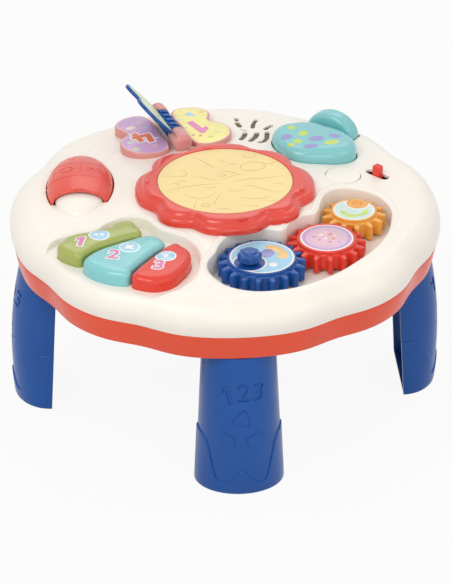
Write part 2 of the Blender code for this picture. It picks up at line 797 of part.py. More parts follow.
def casing_openings():
    """Everything that is open in the upper casing."""
    cutters = [
        outline_solid("tray_room", tray_outline(), TRAY_FLOOR, GEAR_TOP + TRAY_BRIDGE,
                      grow=-TRAY_STEP, steps=1),
        outline_solid("tray_rim", rim_outline(), GEAR_TOP - GEAR_FACE_RISE,
                      DRUM_SEAT + OVERRUN),
        outline_solid("recess_room", recess_outline(), KEY_RECESS, DRUM_SEAT + OVERRUN),
        shell_opening(),
        outline_solid("spotted_opening", spotted_outline(), BOSS_FOOT, DRUM_SEAT + OVERRUN,
                      grow=PRESS_GAP),
        place_fin(outline_solid("fin_opening",
                                rounded_box_outline(FIN_WIDTH, FIN_DEPTH, FIN_EDGE / 2),
                                -FIN_SKIRT, FIN_RISE, grow=PRESS_GAP, curved=False)),
        cylinder("round_opening", ROUND_PLACE, ROUND_RADIUS + PRESS_GAP / 2,
                 JOINT_HEIGHT, DRUM_SEAT),
        outline_solid("switch_slot",
                      slot_outline(SWITCH_PLACE, SLOT_WIDTH, SLOT_LENGTH, SWITCH_ANGLE),
                      JOINT_HEIGHT, DRUM_SEAT, curved=False),
        cylinder("collar_room", SPEAKER_PLACE, SPEAKER_RADIUS + RUN_GAP,
                 JOINT_HEIGHT, CROWN_FOOT - SPEAKER_DROP + SEAT_GAP, SMALL_STEPS * 2),
    ]
    cutters += [outline_solid(f"{name}_key_opening", key_outline(name),
                              KEY_RECESS - CASING_WALL - OVERRUN, KEY_RECESS + OVERRUN / 2,
                              grow=KEY_GAP) for name in KEY_SHARES]
    return cutters


def grille_slots():
    slots = []
    for row, radius in enumerate(GRILLE_RADII):
        lean = GRILLE_LEAN if row % 2 == 0 else -GRILLE_LEAN
        for number, angle in enumerate(GRILLE_ANGLES):
            outline = slot_outline(polar(radius, angle), GRILLE_SLOT[0], GRILLE_SLOT[1],
                                   angle + lean)
            slots.append(outline_solid(f"grille_{row}_{number}", outline,
                                       CROWN_FOOT - SPEAKER_DROP + SEAT_GAP * 2,
                                       DRUM_SEAT + OVERRUN, curved=False))
    return joined("grille_slots", slots)


def build_top_casing():
    skin = [(DRUM_HOLE_RADIUS, DRUM_SEAT)] + crown_points() + shoulder_points()
    skin.append((TABLE_RADIUS, JOINT_HEIGHT + SEAT_GAP))
    casing = turned("top_casing", skin, CASING_STEPS)
    pinch_table(casing)
    wall = casing.modifiers.new("wall", "SOLIDIFY")
    wall.thickness = CASING_WALL
    wall.offset = -1.0
    wall.use_even_offset = True
    under_crown = upper_body("under_crown", CASING_WALL / 2, FLOOR_TOP)
    for cup in casing_cups(under_crown):
        join(casing, cup)
    for opening in casing_openings():
        cut(casing, opening)
    cut(casing, grille_slots())
    join(casing, nose())
    boss_tops = BOSS_FOOT + SCREW_LENGTH
    bores = [cylinder(f"boss_bore_{number}", polar(SCREW_REACH, angle),
                      SCREW_RADIUS + RUN_GAP, BOSS_FOOT - OVERRUN, boss_tops, SMALL_STEPS)
             for number, angle in enumerate(SCREW_ANGLES)]
    cut(casing, joined("boss_bores", bores))
    posts = [cylinder(f"gear_post_{colour}", place, GEAR_HUB_RADIUS, TRAY_FLOOR - CASING_WALL / 2,
                      TRAY_FLOOR + GEAR_LIFT - SEAT_GAP, SMALL_STEPS)
             for colour, place in GEARS.items()]
    join(casing, joined("gear_posts", posts))
    holes = [cylinder(f"pin_hole_{colour}", place, PIN_RADIUS + RUN_GAP,
                      TRAY_FLOOR - CASING_WALL - OVERRUN, TRAY_FLOOR + GEAR_LIFT + OVERRUN,
                      SMALL_STEPS) for colour, place in GEARS.items()]
    cut(casing, joined("pin_holes", holes))
    finish(bake(casing), "cream_plastic")


CELL_PITCH = 2 * CELL_RADIUS + SEAT_GAP
BOX_WIDTH = CELL_PITCH * CELLS + SEAT_GAP
BOX_LENGTH = CELL_LENGTH + CELL_NIB + 4 * SEAT_GAP
BOX_TOP = SKIRT_FOOT + DOOR_THICKNESS + 3 * SEAT_GAP + 2 * CELL_RADIUS + SEAT_GAP
DOOR_WIDTH = BOX_LENGTH + 2 * DOOR_MARGIN
DOOR_LENGTH = BOX_WIDTH + 2 * DOOR_MARGIN + DOOR_TAB
DOOR_MIDDLE = (0.0, DOOR_TAB / 2)
DOOR_SCREW = (0.0, BOX_WIDTH / 2 + DOOR_MARGIN + DOOR_TAB / 2)
PAD_FLOOR = SKIRT_FOOT + DOOR_THICKNESS + CASING_WALL
BOARD_FOOT = BOX_TOP + BOX_WALL + BOARD_LIFT


def door_outline():
    return rounded_box_outline(DOOR_WIDTH, DOOR_LENGTH, DOOR_CORNER, DOOR_MIDDLE)


def tenon_outline():
    return rounded_box_outline(TENON_WIDTH, TENON_DEPTH, TENON_CORNER, (0.0, -TENON_REACH), 2)


def pillar_places():
    inset = PILLAR_RADIUS + BOARD_CORNER
    return [(sx * (BOX_LENGTH / 2 - inset), sy * (BOX_WIDTH / 2 - inset))
            for sx in (-1, 1) for sy in (-1, 1)]


def build_lower_casing():
    wall = CASING_WALL
    lip_radius = TABLE_RADIUS - wall - SEAT_GAP
    foot_radius = TABLE_RADIUS - SKIRT_TAPER
    corner = wall / 2
    profile = [
        (0.0, FLOOR_TOP), (foot_radius - wall - corner, FLOOR_TOP),
        (foot_radius - wall + SKIRT_TAPER / 4, FLOOR_TOP + 2 * corner),
        (lip_radius - wall * 0.8, JOINT_HEIGHT + LIP_HEIGHT),
        (lip_radius, JOINT_HEIGHT + LIP_HEIGHT), (lip_radius, JOINT_HEIGHT),
        (TABLE_RADIUS, JOINT_HEIGHT),
        (TABLE_RADIUS - SKIRT_TAPER / 3, SKIRT_FOOT + SKIRT_HEIGHT * 0.4),
        (foot_radius, SKIRT_FOOT + corner), (foot_radius - corner, SKIRT_FOOT),
        (0.0, SKIRT_FOOT)]
    casing = turned("lower_casing", profile, CASING_STEPS)
    pinch_table(casing)
    box_low = (-BOX_LENGTH / 2 - BOX_WALL, -BOX_WIDTH / 2 - BOX_WALL, SKIRT_FOOT + wall / 2)
    box_high = (BOX_LENGTH / 2 + BOX_WALL, BOX_WIDTH / 2 + BOX_WALL, BOX_TOP + BOX_WALL)
    join(casing, box("battery_block", box_low, box_high))
    join(casing, outline_solid("door_pad", door_outline(), SKIRT_FOOT + wall / 2, PAD_FLOOR,
                               grow=BOX_WALL, curved=False))
    screw_top = PAD_FLOOR + SCREW_LENGTH
    join(casing, cylinder("door_boss", DOOR_SCREW, BOSS_RADIUS, PAD_FLOOR - wall / 2,
                          screw_top, SMALL_STEPS))
    pillars = [cylinder(f"pillar_{number}", place, PILLAR_RADIUS, BOX_TOP + BOX_WALL / 2,
                        BOARD_FOOT - SEAT_GAP, SMALL_STEPS)
               for number, place in enumerate(pillar_places())]
    join(casing, joined("pillars", pillars))
    rims = []
    rooms = []
    for number in range(4):
        turn = number * math.pi / 2
        rim = outline_solid(f"socket_{number}", tenon_outline(), SKIRT_FOOT + wall / 2,
                            SKIRT_FOOT + TENON_HEIGHT + wall, grow=SEAT_GAP + SOCKET_WALL,
                            curved=False)
        room = outline_solid(f"socket_room_{number}", tenon_outline(), SKIRT_FOOT - OVERRUN,
                             SKIRT_FOOT + TENON_HEIGHT + wall + OVERRUN, grow=SEAT_GAP,
                             curved=False)
        turn_about(rim, turn)
        turn_about(room, turn)
        rims.append(rim)
        rooms.append(room)
    for number, angle in enumerate(SCREW_ANGLES):
        place = polar(SCREW_REACH, angle)
        rims.append(cylinder(f"screw_cup_{number}", place, SCREW_HEAD_RADIUS + 2 * wall,
                             SKIRT_FOOT + wall / 2, BOSS_FOOT - SEAT_GAP, SMALL_STEPS))
        rooms.append(cylinder(f"screw_room_{number}", place, SCREW_HEAD_RADIUS + PRESS_GAP,
                              SKIRT_FOOT - OVERRUN, SKIRT_FOOT + COUNTERBORE, SMALL_STEPS))
    join(casing, joined("sockets_and_cups", rims))
    cut(casing, joined("socket_rooms", rooms))
    holes = [cylinder(f"screw_hole_{number}", polar(SCREW_REACH, angle),
                      SCREW_RADIUS + RUN_GAP, SKIRT_FOOT, BOSS_FOOT + OVERRUN, SMALL_STEPS)
             for number, angle in enumerate(SCREW_ANGLES)]
    holes.append(cylinder("door_screw_hole", DOOR_SCREW, SCREW_RADIUS + RUN_GAP,
                          SKIRT_FOOT, screw_top - wall / 2, SMALL_STEPS))
    cut(casing, joined("screw_holes", holes))
    cut(casing, outline_solid("door_rebate", door_outline(), SKIRT_FOOT - OVERRUN,
                              SKIRT_FOOT + DOOR_THICKNESS + SEAT_GAP, grow=SEAT_GAP,
                              curved=False))
    cut(casing, box("battery_room", (-BOX_LENGTH / 2, -BOX_WIDTH / 2, SKIRT_FOOT),
                    (BOX_LENGTH / 2, BOX_WIDTH / 2, BOX_TOP)))
    finish(bake(casing), "skirt_red")


# Legs

def leg_sizes(height):
    """Half width, outer reach and open back of a leg at a height over the floor."""
    share = height / LEG_HEIGHT
    half = (LEG_WIDTH_FOOT + (LEG_WIDTH_TOP - LEG_WIDTH_FOOT) * share) / 2
    back = LEG_BACK_FOOT + (LEG_BACK_TOP - LEG_BACK_FOOT) * share
    straight = LEG_REACH_FOOT + (LEG_REACH_TOP - LEG_REACH_FOOT) * share
    middle = (LEG_REACH_FOOT + LEG_REACH_TOP) / 2
    bulge = (LEG_REACH_MIDDLE - middle) * 4 * share * (1 - share)
    return half, straight + bulge, back


def shoe_edge(turn):
    """Height of the shoe's wavy upper edge at an angle round the leg's half oval."""
    across = math.cos(turn)
    front = fade(1 - abs(across), 0.12, 0.42)
    peak = math.exp(-(across / 0.28) ** 2)
    return SHOE_HEIGHT - SHOE_DIP * front + SHOE_PEAK * peak


def leg_ring(row):
    """One ring of the leg's skin: base height, share of the shoe's edge, step and outset."""
    base, follow, rise, outset = row
    ring = []
    for step in range(LEG_ARC_STEPS + 1):
        turn = math.pi * (1 - step / LEG_ARC_STEPS)
        height = base + follow * (shoe_edge(turn) - base) + rise
        half, reach, back = leg_sizes(height)
        across = (half + outset) * math.cos(turn)
        out = back + (reach + outset - back) * math.sin(turn)
        ring.append((across, -out, height))
    return ring


def leg_room(rows, inset):
    """The hollow of a leg, open past its back."""
    rings = []
    for base in rows:
        half, reach, back = leg_sizes(base)
        ring = [(-half + inset, -back + OVERRUN * 2, base)]
        for step in range(LEG_ARC_STEPS + 1):
            turn = math.pi * (1 - step / LEG_ARC_STEPS)
            ring.append(((half - inset) * math.cos(turn),
                         -back - (reach - inset - back) * math.sin(turn), base))
        ring.append((half - inset, -back + OVERRUN * 2, base))
        rings.append(ring)
    return loft("leg_room", rings)


def build_legs():
    top = LEG_HEIGHT
    rows = [
        (0.0, 0.0, 0.0, SHOE_PROUD - SHOE_EDGE), (SHOE_EDGE, 0.0, 0.0, SHOE_PROUD),
        (0.0, 1.0, -SHOE_STEP, SHOE_PROUD), (0.0, 1.0, 0.0, 0.0),
        (SHOE_HEIGHT + SHOE_STEP * 4, 0.0, 0.0, 0.0), (top * 0.72, 0.0, 0.0, 0.0),
        (top * 0.87, 0.0, 0.0, 0.0), (top, 0.0, 0.0, 0.0)]
    leg = loft("leg_front", [leg_ring(row) for row in rows])
    room = leg_room([LEG_WALL, top * 0.35, top * 0.7, top - LEG_WALL], LEG_WALL)
    cut(leg, room)
    join(leg, outline_solid("tenon", tenon_outline(), top - LEG_WALL / 2,
                            top + TENON_HEIGHT, curved=False))
    bake(leg)
    for name, turns in LEG_TURNS.items():
        copy = leg if turns == 0 else add_object(name, leg.data.copy())
        turn_about(copy, turns * math.pi / 2)
        finish(copy, "leg_blue")


# Drum

RING_FOOT = DRUM_SEAT + SEAT_GAP
RING_TOP = RING_FOOT + RING_HEIGHT
PAD_TOP = RING_TOP - SEAT_GAP
SHELF_TOP = RING_FOOT + RING_SHELF


def build_drum_ring():
    inner = PAD_RADIUS + PAD_GAP
    width = RING_RADIUS - inner
    height = RING_HEIGHT
    section = [
        (inner, SHELF_TOP), (inner, RING_TOP - height * 0.08),
        (inner + width * 0.12, RING_TOP), (inner + width * 0.55, RING_TOP - height * 0.05),
        (inner + width * 0.84, RING_TOP - height * 0.25),
        (RING_RADIUS, RING_TOP - height * 0.70), (RING_RADIUS, RING_FOOT),
        (inner - RING_SHELF_WIDTH, RING_FOOT), (inner - RING_SHELF_WIDTH, SHELF_TOP)]
    ring = turned("drum_ring", section, CASING_STEPS, closed=True)
    draw_in(ring, RING_PINCH, inner + width * 0.1, width * 0.6)
    finish(ring, "bright_red")


def build_drum_pad():
    rim_foot = SHELF_TOP + PAD_TRAVEL + PAD_GAP
    plate_foot = PAD_TOP - PAD_THICKNESS
    edge = PAD_THICKNESS / 3
    profile = [
        (0.0, PAD_TOP), (PAD_RADIUS - edge, PAD_TOP), (PAD_RADIUS, PAD_TOP - edge),
        (PAD_RADIUS, rim_foot), (PAD_RADIUS - PAD_RIM, rim_foot),
        (PAD_RADIUS - PAD_RIM, plate_foot), (PAD_STEM_RADIUS, plate_foot),
        (PAD_STEM_RADIUS, CONTACT_TOP + PAD_TRAVEL + SEAT_GAP),
        (0.0, CONTACT_TOP + PAD_TRAVEL + SEAT_GAP)]
    pad = turned("drum_pad", profile, CASING_STEPS * 3 // 4)
    finish(pad, "pad_yellow")
    set_origin(pad, (0.0, 0.0, PAD_TOP))


# Keys and push buttons

def lipped_button(name, outline, bottom, top, edge, lip, wall, under):
    """A hollow cap with rounded upper edges and a lip that its casing holds down."""
    taller = (top - bottom) + 2 * edge
    cap = outline_solid(name, outline, top - taller, top, edge=edge)
    span = max(abs(value) for point in outline for value in point) * 2
    keep_inside(cap, box(f"{name}_limit", (-span, -span, bottom), (span, span, top + edge)))
    join(cap, outline_solid(f"{name}_lip", outline, bottom, under - SEAT_GAP, grow=lip))
    cut(cap, outline_solid(f"{name}_room", outline, bottom - OVERRUN, top - wall * 1.5,
                           grow=-wall - edge / 3, steps=1))
    return bake(cap)


def middle_of(outline):
    return (sum(x for x, y in outline) / len(outline), sum(y for x, y in outline) / len(outline))


def build_keys():
    under = KEY_RECESS - CASING_WALL
    colours = {"green": "green_plastic", "teal": "teal_plastic", "red": "bright_red"}
    for name, material in colours.items():
        outline = key_outline(name)
        key = lipped_button(f"key_{name}", outline, under - SEAT_GAP - KEY_WALL, KEY_TOP,
                            KEY_EDGE, KEY_LIP, KEY_WALL, under)
        finish(key, material)
        set_origin(key, (*middle_of(outline), KEY_TOP))


def build_shell_button():
    shell = shell_dome("shell_button", SHELL_WIDTH, SHELL_LENGTH, SHELL_RISE, SHELL_SKIRT,
                       SHELL_LIP)
    room = shell_dome("shell_room", SHELL_WIDTH - 2 * SHELL_WALL,
                      SHELL_LENGTH - 2 * SHELL_WALL, SHELL_RISE - SHELL_WALL,
                      SHELL_SKIRT + OVERRUN)
    cut(shell, room)
    keep_inside(shell, box("shell_limit", (-SHELL_WIDTH, -SHELL_FRONT, -SHELL_LENGTH),
                           (SHELL_WIDTH, SHELL_LENGTH, SHELL_LENGTH)))
    place_shell(bake(shell))
    finish(shell, "bright_red")
    set_origin(shell, (*SHELL_PLACE, SHELL_BASE))


def build_domes():
    under = surface_at((SPOTTED_PLACE[0] + SPOTTED_SIZE / 2, SPOTTED_PLACE[1])) - CASING_WALL
    under -= 2 * SEAT_GAP
    spotted = lipped_button("spotted_button", spotted_outline(), under - 2 * DOME_WALL,
                            SPOTTED_TOP, SPOTTED_EDGE, PRESS_GAP + DOME_LIP, DOME_WALL, under)
    finish(spotted, "teal_plastic")
    set_origin(spotted, (*SPOTTED_PLACE, SPOTTED_TOP))
    build_fin()


def build_fin():
    """A half disc with rounded edges that stands across the rim of the table."""
    half = FIN_WIDTH / 2
    profile = [(half * math.cos(math.pi * step / FIN_STEPS),
                FIN_RISE * math.sin(math.pi * step / FIN_STEPS))
               for step in range(FIN_STEPS + 1)]
    profile += [(-half, -FIN_SKIRT), (half, -FIN_SKIRT)]
    fin = outline_solid("fin_button", profile, -FIN_DEPTH / 2, FIN_DEPTH / 2, edge=FIN_EDGE,
                        curved=False)
    fin.data.transform(Matrix.Rotation(math.pi / 2, 4, "X"))
    reach = FIN_WIDTH + 2 * (PRESS_GAP + DOME_LIP)
    join(fin, outline_solid("fin_lip",
                            rounded_box_outline(reach, FIN_DEPTH - FIN_EDGE, FIN_EDGE / 2),
                            -FIN_SKIRT - DOME_WALL / 2, DOME_WALL - FIN_SKIRT, curved=False))
    place_fin(bake(fin))
    finish(fin, "teal_plastic")
    set_origin(fin, (*FIN_PLACE, surface_at(FIN_PLACE)))


def build_round_button():
    surface = surface_at(ROUND_PLACE)
    top = surface + SEAT_GAP
    under = surface_at(ROUND_PLACE, ROUND_RADIUS + 2 * PRESS_GAP) - CASING_WALL - 2 * SEAT_GAP
    edge = SEAT_GAP * 2
    profile = [(0.0, top + edge), (ROUND_RADIUS * 0.6, top + edge * 0.7),
               (ROUND_RADIUS - edge, top), (ROUND_RADIUS, top - edge), (ROUND_RADIUS, under),
               (ROUND_RADIUS + 2 * PRESS_GAP, under),
               (ROUND_RADIUS + 2 * PRESS_GAP, under - DOME_WALL),
               (0.0, under - DOME_WALL)]
    button = turned("round_button", profile)
    button.data.transform(Matrix.Translation((*ROUND_PLACE, 0.0)))
    finish(button, "white_plastic")
    set_origin(button, (*ROUND_PLACE, top))


def build_switch():
    surface = surface_at(SWITCH_PLACE)
    under = surface_at(SWITCH_PLACE, SLOT_LENGTH / 2) - CASING_WALL - 2 * SEAT_GAP
    stem = slot_outline((0.0, 0.0), LEVER_WIDTH, LEVER_LENGTH, 0.0)
    lever = outline_solid("switch_lever", stem, under - LEVER_PLATE / 2,
                          surface + LEVER_RISE, curved=False)
    plate = slot_outline((0.0, 0.0), SLOT_WIDTH + 4 * PRESS_GAP,
                         SLOT_LENGTH - LEVER_TRAVEL, 0.0)
    join(lever, outline_solid("lever_plate", plate, under - LEVER_PLATE, under, curved=False))
    bake(lever)
    lever.data.transform(Matrix.Translation((*SWITCH_PLACE, 0.0))
                         @ Matrix.Rotation(SWITCH_ANGLE, 4, "Z"))
    finish(lever, "bright_red")
    set_origin(lever, (*SWITCH_PLACE, under))
    body_top = under - LEVER_PLATE - SEAT_GAP
    body = box("switch_body", (-SLOT_LENGTH / 2, -SLOT_WIDTH / 2, body_top - SLOT_WIDTH),
               (SLOT_LENGTH / 2, SLOT_WIDTH / 2, body_top))
    body.data.transform(Matrix.Translation((*SWITCH_PLACE, 0.0))
                        @ Matrix.Rotation(SWITCH_ANGLE, 4, "Z"))
    finish(body, "steel")


# Gear train

def involute(angle):
    return math.tan(angle) - angle


def tooth_half_angle(colour, radius):
    """Half the angle that a tooth takes at a radius, by the involute of its base circle."""
    pitch = pitch_radius(colour)
    base = pitch * math.cos(PRESSURE_ANGLE)
    half = (math.pi * MODULE / 2 - BACKLASH) / (2 * pitch)
    if radius <= base:
        return half + involute(PRESSURE_ANGLE)
    return half + involute(PRESSURE_ANGLE) - involute(math.acos(base / radius))


def gear_ring(colour, height, trim=0.0):
    """The toothed outline of a gear at a height, its tips trimmed by trim."""
    pitch = pitch_radius(colour)
    root = pitch - DEDENDUM
    tip = pitch + ADDENDUM - trim
    flank = pitch + ADDENDUM * 0.35
    ring = []
    for tooth in range(TEETH[colour]):
        middle = 2 * math.pi * tooth / TEETH[colour]
        spots = [(root, 1.12), (flank, 1.0), (tip, 0.80)]
        for radius, share in spots:
            angle = middle - tooth_half_angle(colour, radius) * share
            ring.append((*polar(radius, angle), height))
        for radius, share in reversed(spots):
            angle = middle + tooth_half_angle(colour, radius) * share
            ring.append((*polar(radius, angle), height))
    return ring


def gear_phases():
    """How far each gear is turned so that teeth meet gaps all along the train."""
    names = list(TEETH)
    phases = {names[0]: 0.0}
    for before, after, angle in zip(names, names[1:], TRAIN_ANGLES):
        ratio = TEETH[before] / TEETH[after]
        half_pitch = math.pi / TEETH[after]
        phases[after] = angle + math.pi - (phases[before] - angle) * ratio - half_pitch
    return phases


def build_gears():
    phases = gear_phases()
    colours = {"blue": "leg_blue", "red": "bright_red", "yellow": "gear_orange"}
    bottom = TRAY_FLOOR + GEAR_LIFT
    tooth_top = GEAR_TOP - GEAR_FACE_RISE
    for colour, material in colours.items():
        root = pitch_radius(colour) - DEDENDUM
        gear = loft(f"gear_{colour}", [
            gear_ring(colour, bottom), gear_ring(colour, tooth_top - GEAR_BEVEL),
            gear_ring(colour, tooth_top, GEAR_BEVEL)])
        face = root - GEAR_FACE_INSET
        disc = turned(f"{colour}_face", [
            (0.0, GEAR_TOP), (face - GEAR_BEVEL / 2, GEAR_TOP), (face, GEAR_TOP - GEAR_BEVEL / 2),
            (face, tooth_top - GEAR_BEVEL), (0.0, tooth_top - GEAR_BEVEL)])
        join(gear, disc)
        pocket = turned(f"{colour}_pocket", [
            (root - GEAR_RIM, GEAR_TOP - GEAR_WEB), (root - GEAR_RIM, bottom - OVERRUN),
            (GEAR_HUB_RADIUS, bottom - OVERRUN), (GEAR_HUB_RADIUS, GEAR_TOP - GEAR_WEB)],
            closed=True)
        cut(gear, pocket)
        cut(gear, cylinder(f"{colour}_bore", (0.0, 0.0), PIN_RADIUS + RUN_GAP,
                           bottom - OVERRUN, GEAR_TOP - GEAR_WEB / 2, SMALL_STEPS))
        if colour == "blue":
            turn_about(gear, phases[colour])
            cut(gear, cylinder("knob_hole", KNOB_PLACE, KNOB_PIN_RADIUS + RUN_GAP,
                               GEAR_TOP - KNOB_PIN_DEPTH - SEAT_GAP, GEAR_TOP + OVERRUN,
                               SMALL_STEPS))
        else:
            turn_about(gear, phases[colour])
        if colour == "yellow":
            radius = (DIMPLE_RADIUS ** 2 + DIMPLE_DEPTH ** 2) / (2 * DIMPLE_DEPTH)
            cut(gear, ball("dimple", (*DIMPLE_PLACE, GEAR_TOP + radius - DIMPLE_DEPTH), radius))
        bake(gear)
        gear.location = (*GEARS[colour], 0.0)
        finish(gear, material)
        build_gear_pin(colour)


def build_gear_pin(colour):
    under = TRAY_FLOOR - CASING_WALL - SEAT_GAP
    top = GEAR_TOP - GEAR_WEB / 2 - SEAT_GAP
    profile = [(0.0, top), (PIN_RADIUS, top), (PIN_RADIUS, under), (PIN_HEAD_RADIUS, under),
               (PIN_HEAD_RADIUS, under - PIN_HEAD_HEIGHT), (0.0, under - PIN_HEAD_HEIGHT)]
    pin = turned(f"gear_pin_{colour}", profile, SMALL_STEPS)
    pin.data.transform(Matrix.Translation((*GEARS[colour], 0.0)))
    finish(pin, "steel")


def build_crank():
    place = (GEARS["blue"][0] + KNOB_PLACE[0], GEARS["blue"][1] + KNOB_PLACE[1])
    foot = GEAR_TOP + SEAT_GAP
    skirt = foot + KNOB_NECK
    top = skirt + KNOB_HEIGHT
    steps = KNOB_FLUTES * 4

    def knob_ring(radius, flute, height):
        ring = []
        for step in range(steps):
            angle = 2 * math.pi * step / steps
            reach = radius + flute * math.cos(KNOB_FLUTES * angle)
            ring.append((*polar(reach, angle), height))
        return ring

    knob = loft("crank_knob", [
        knob_ring(KNOB_NECK_RADIUS, 0.0, foot), knob_ring(KNOB_NECK_RADIUS, 0.0, skirt),
        knob_ring(KNOB_RADIUS, KNOB_FLUTE, skirt + KNOB_NECK),
        knob_ring(KNOB_RADIUS, KNOB_FLUTE, top - KNOB_BEVEL),
        knob_ring(KNOB_TOP_RADIUS, 0.0, top - KNOB_BEVEL / 4),
        knob_ring(KNOB_TOP_RADIUS - KNOB_BEVEL / 4, 0.0, top)])
    cut(knob, cylinder("knob_bore", (0.0, 0.0), KNOB_PIN_RADIUS + RUN_GAP, foot - OVERRUN,
                       top - KNOB_BEVEL, SMALL_STEPS))
    bake(knob)
    knob.location = (*place, 0.0)
    finish(knob, "leg_blue")
    pin = cylinder("crank_pin", place, KNOB_PIN_RADIUS, GEAR_TOP - KNOB_PIN_DEPTH,
                   top - KNOB_BEVEL - SEAT_GAP, SMALL_STEPS)
    finish(pin, "steel")


# Flip book

def along_hinge(item):
    """Turn a piece made about Z so that it lies along the book's hinge."""
    item.data.transform(Matrix.Translation((*book_point(0.0, 0.0), BOOK_AXIS_HEIGHT))
                        @ Matrix.Rotation(BOOK_ANGLE, 4, "Z")
                        @ Matrix.Rotation(math.pi / 2, 4, "Y"))
    return item


def build_book():
    stamp = crown_stamp("book_seat")
    for name, side in (("book_board_left", 1), ("book_board_right", -1)):
        outline = [book_point(BOOK_START + BOOK_SIZE * along, side * BOOK_SIZE * away)
                   for along, away in BOARD_SHARES]
        if side > 0:
            outline.reverse()
        outline = outline[::-1]
        board = outline_solid(name, outline, CROWN_FOOT - OVERRUN, BOARD_TOP, edge=BOARD_EDGE)
        cut(board, stamp)
        bake(board)
        finish(board, "book_pink")
    radius = BARREL_RADIUS
    stop = HUB_START - SEAT_GAP
    front = along_hinge(turned("book_barrel_front", [
        (0.0, stop), (radius * 0.9, stop), (radius, stop - radius * 0.15),
        (radius, BARREL_START + radius * 0.5), (radius * 0.8, BARREL_START + radius * 0.14),
        (radius * 0.45, BARREL_START), (0.0, BARREL_START)], TURN_STEPS // 2))
    radius = BARREL_BACK_RADIUS
    start = HUB_END + SEAT_GAP
    back = along_hinge(turned("book_barrel_back", [
        (0.0, BARREL_END), (radius * 0.45, BARREL_END), (radius * 0.8, BARREL_END - radius * 0.14),
        (radius, BARREL_END - radius * 0.5), (radius, start + radius * 0.15),
        (radius * 0.9, start), (0.0, start)], TURN_STEPS // 2))
    pin_hole = along_hinge(cylinder("book_pin_hole", (0.0, 0.0), BOOK_PIN_RADIUS + RUN_GAP,
                                    HUB_START - BOOK_PIN_DEPTH - SEAT_GAP,
                                    HUB_END + BOOK_PIN_DEPTH + SEAT_GAP, SMALL_STEPS))
    for barrel in (front, back):
        cut(barrel, stamp)
        cut(barrel, pin_hole)
        bake(barrel)
        finish(barrel, "book_pink")
    pin = along_hinge(cylinder("book_pin", (0.0, 0.0), BOOK_PIN_RADIUS,
                               HUB_START - BOOK_PIN_DEPTH, HUB_END + BOOK_PIN_DEPTH,
                               SMALL_STEPS))
    finish(pin, "steel")
    build_page(pin_hole)


def build_page(pin_hole):
    pitch = (HUB_END - HUB_START) / HUB_RIBS
    profile = [(0.0, HUB_END)]
    for rib in range(HUB_RIBS):
        top = HUB_END - rib * pitch
        profile += [(HUB_RADIUS, top), (HUB_RADIUS + HUB_RIB, top - pitch / 2)]
    profile += [(HUB_RADIUS, HUB_START), (0.0, HUB_START)]
    ribbed = turned("ribbed_hub", profile, TURN_STEPS // 2)
    outline = [(BOOK_START + BOOK_SIZE * along, BOOK_SIZE * away)
               for along, away in PAGE_SHARES][::-1]
    page = outline_solid("page_blue", outline, -PAGE_THICKNESS / 2, PAGE_THICKNESS / 2,
                         edge=PAGE_THICKNESS / 4)
    lean = Matrix.Rotation(PAGE_REST, 4, "X")
    page.data.transform(Matrix.Translation((*book_point(0.0, 0.0), BOOK_AXIS_HEIGHT))
                        @ Matrix.Rotation(BOOK_ANGLE, 4, "Z") @ lean)
    along_hinge(ribbed)
    join(page, ribbed)
    cut(page, pin_hole)
    bake(page)
    finish(page, "leg_blue")
    set_origin(page, (*book_point((HUB_START + HUB_END) / 2, 0.0), BOOK_AXIS_HEIGHT))


# Inside the casings

CONTACT_FOOT = BOARD_FOOT + BOARD_THICKNESS + SEAT_GAP
CONTACT_TOP = CONTACT_FOOT + CONTACT_HEIGHT


def build_board():
    board = outline_solid("circuit_board",
                          rounded_box_outline(BOARD_SIZE[0], BOARD_SIZE[1], BOARD_CORNER),
                          BOARD_FOOT, BOARD_FOOT + BOARD_THICKNESS, curved=False)
    finish(board, "board_green")
    contact = turned("drum_contact", [
        (0.0, CONTACT_TOP), (CONTACT_RADIUS * 0.5, CONTACT_TOP),
        (CONTACT_RADIUS * 0.8, CONTACT_FOOT + CONTACT_HEIGHT * 0.4),
        (CONTACT_RADIUS, CONTACT_FOOT + CONTACT_HEIGHT * 0.3), (CONTACT_RADIUS, CONTACT_FOOT),
        (0.0, CONTACT_FOOT)], SMALL_STEPS)
    finish(contact, "white_plastic")


def build_speaker():
    face = CROWN_FOOT - SPEAKER_DROP
    back = face - SPEAKER_FRAME
    rim = SPEAKER_RADIUS
    profile = [
        (0.0, face - SPEAKER_FRAME * 0.5), (rim * 0.9, face), (rim, face),
        (rim, face - SPEAKER_FRAME * 0.3), (rim * 0.6, back),
        (SPEAKER_MAGNET_RADIUS, back), (SPEAKER_MAGNET_RADIUS, back - SPEAKER_MAGNET),
        (0.0, back - SPEAKER_MAGNET)]
    speaker = turned("speaker", profile)
    speaker.data.transform(Matrix.Translation((*SPEAKER_PLACE, 0.0)))
    finish(speaker, "speaker_black")


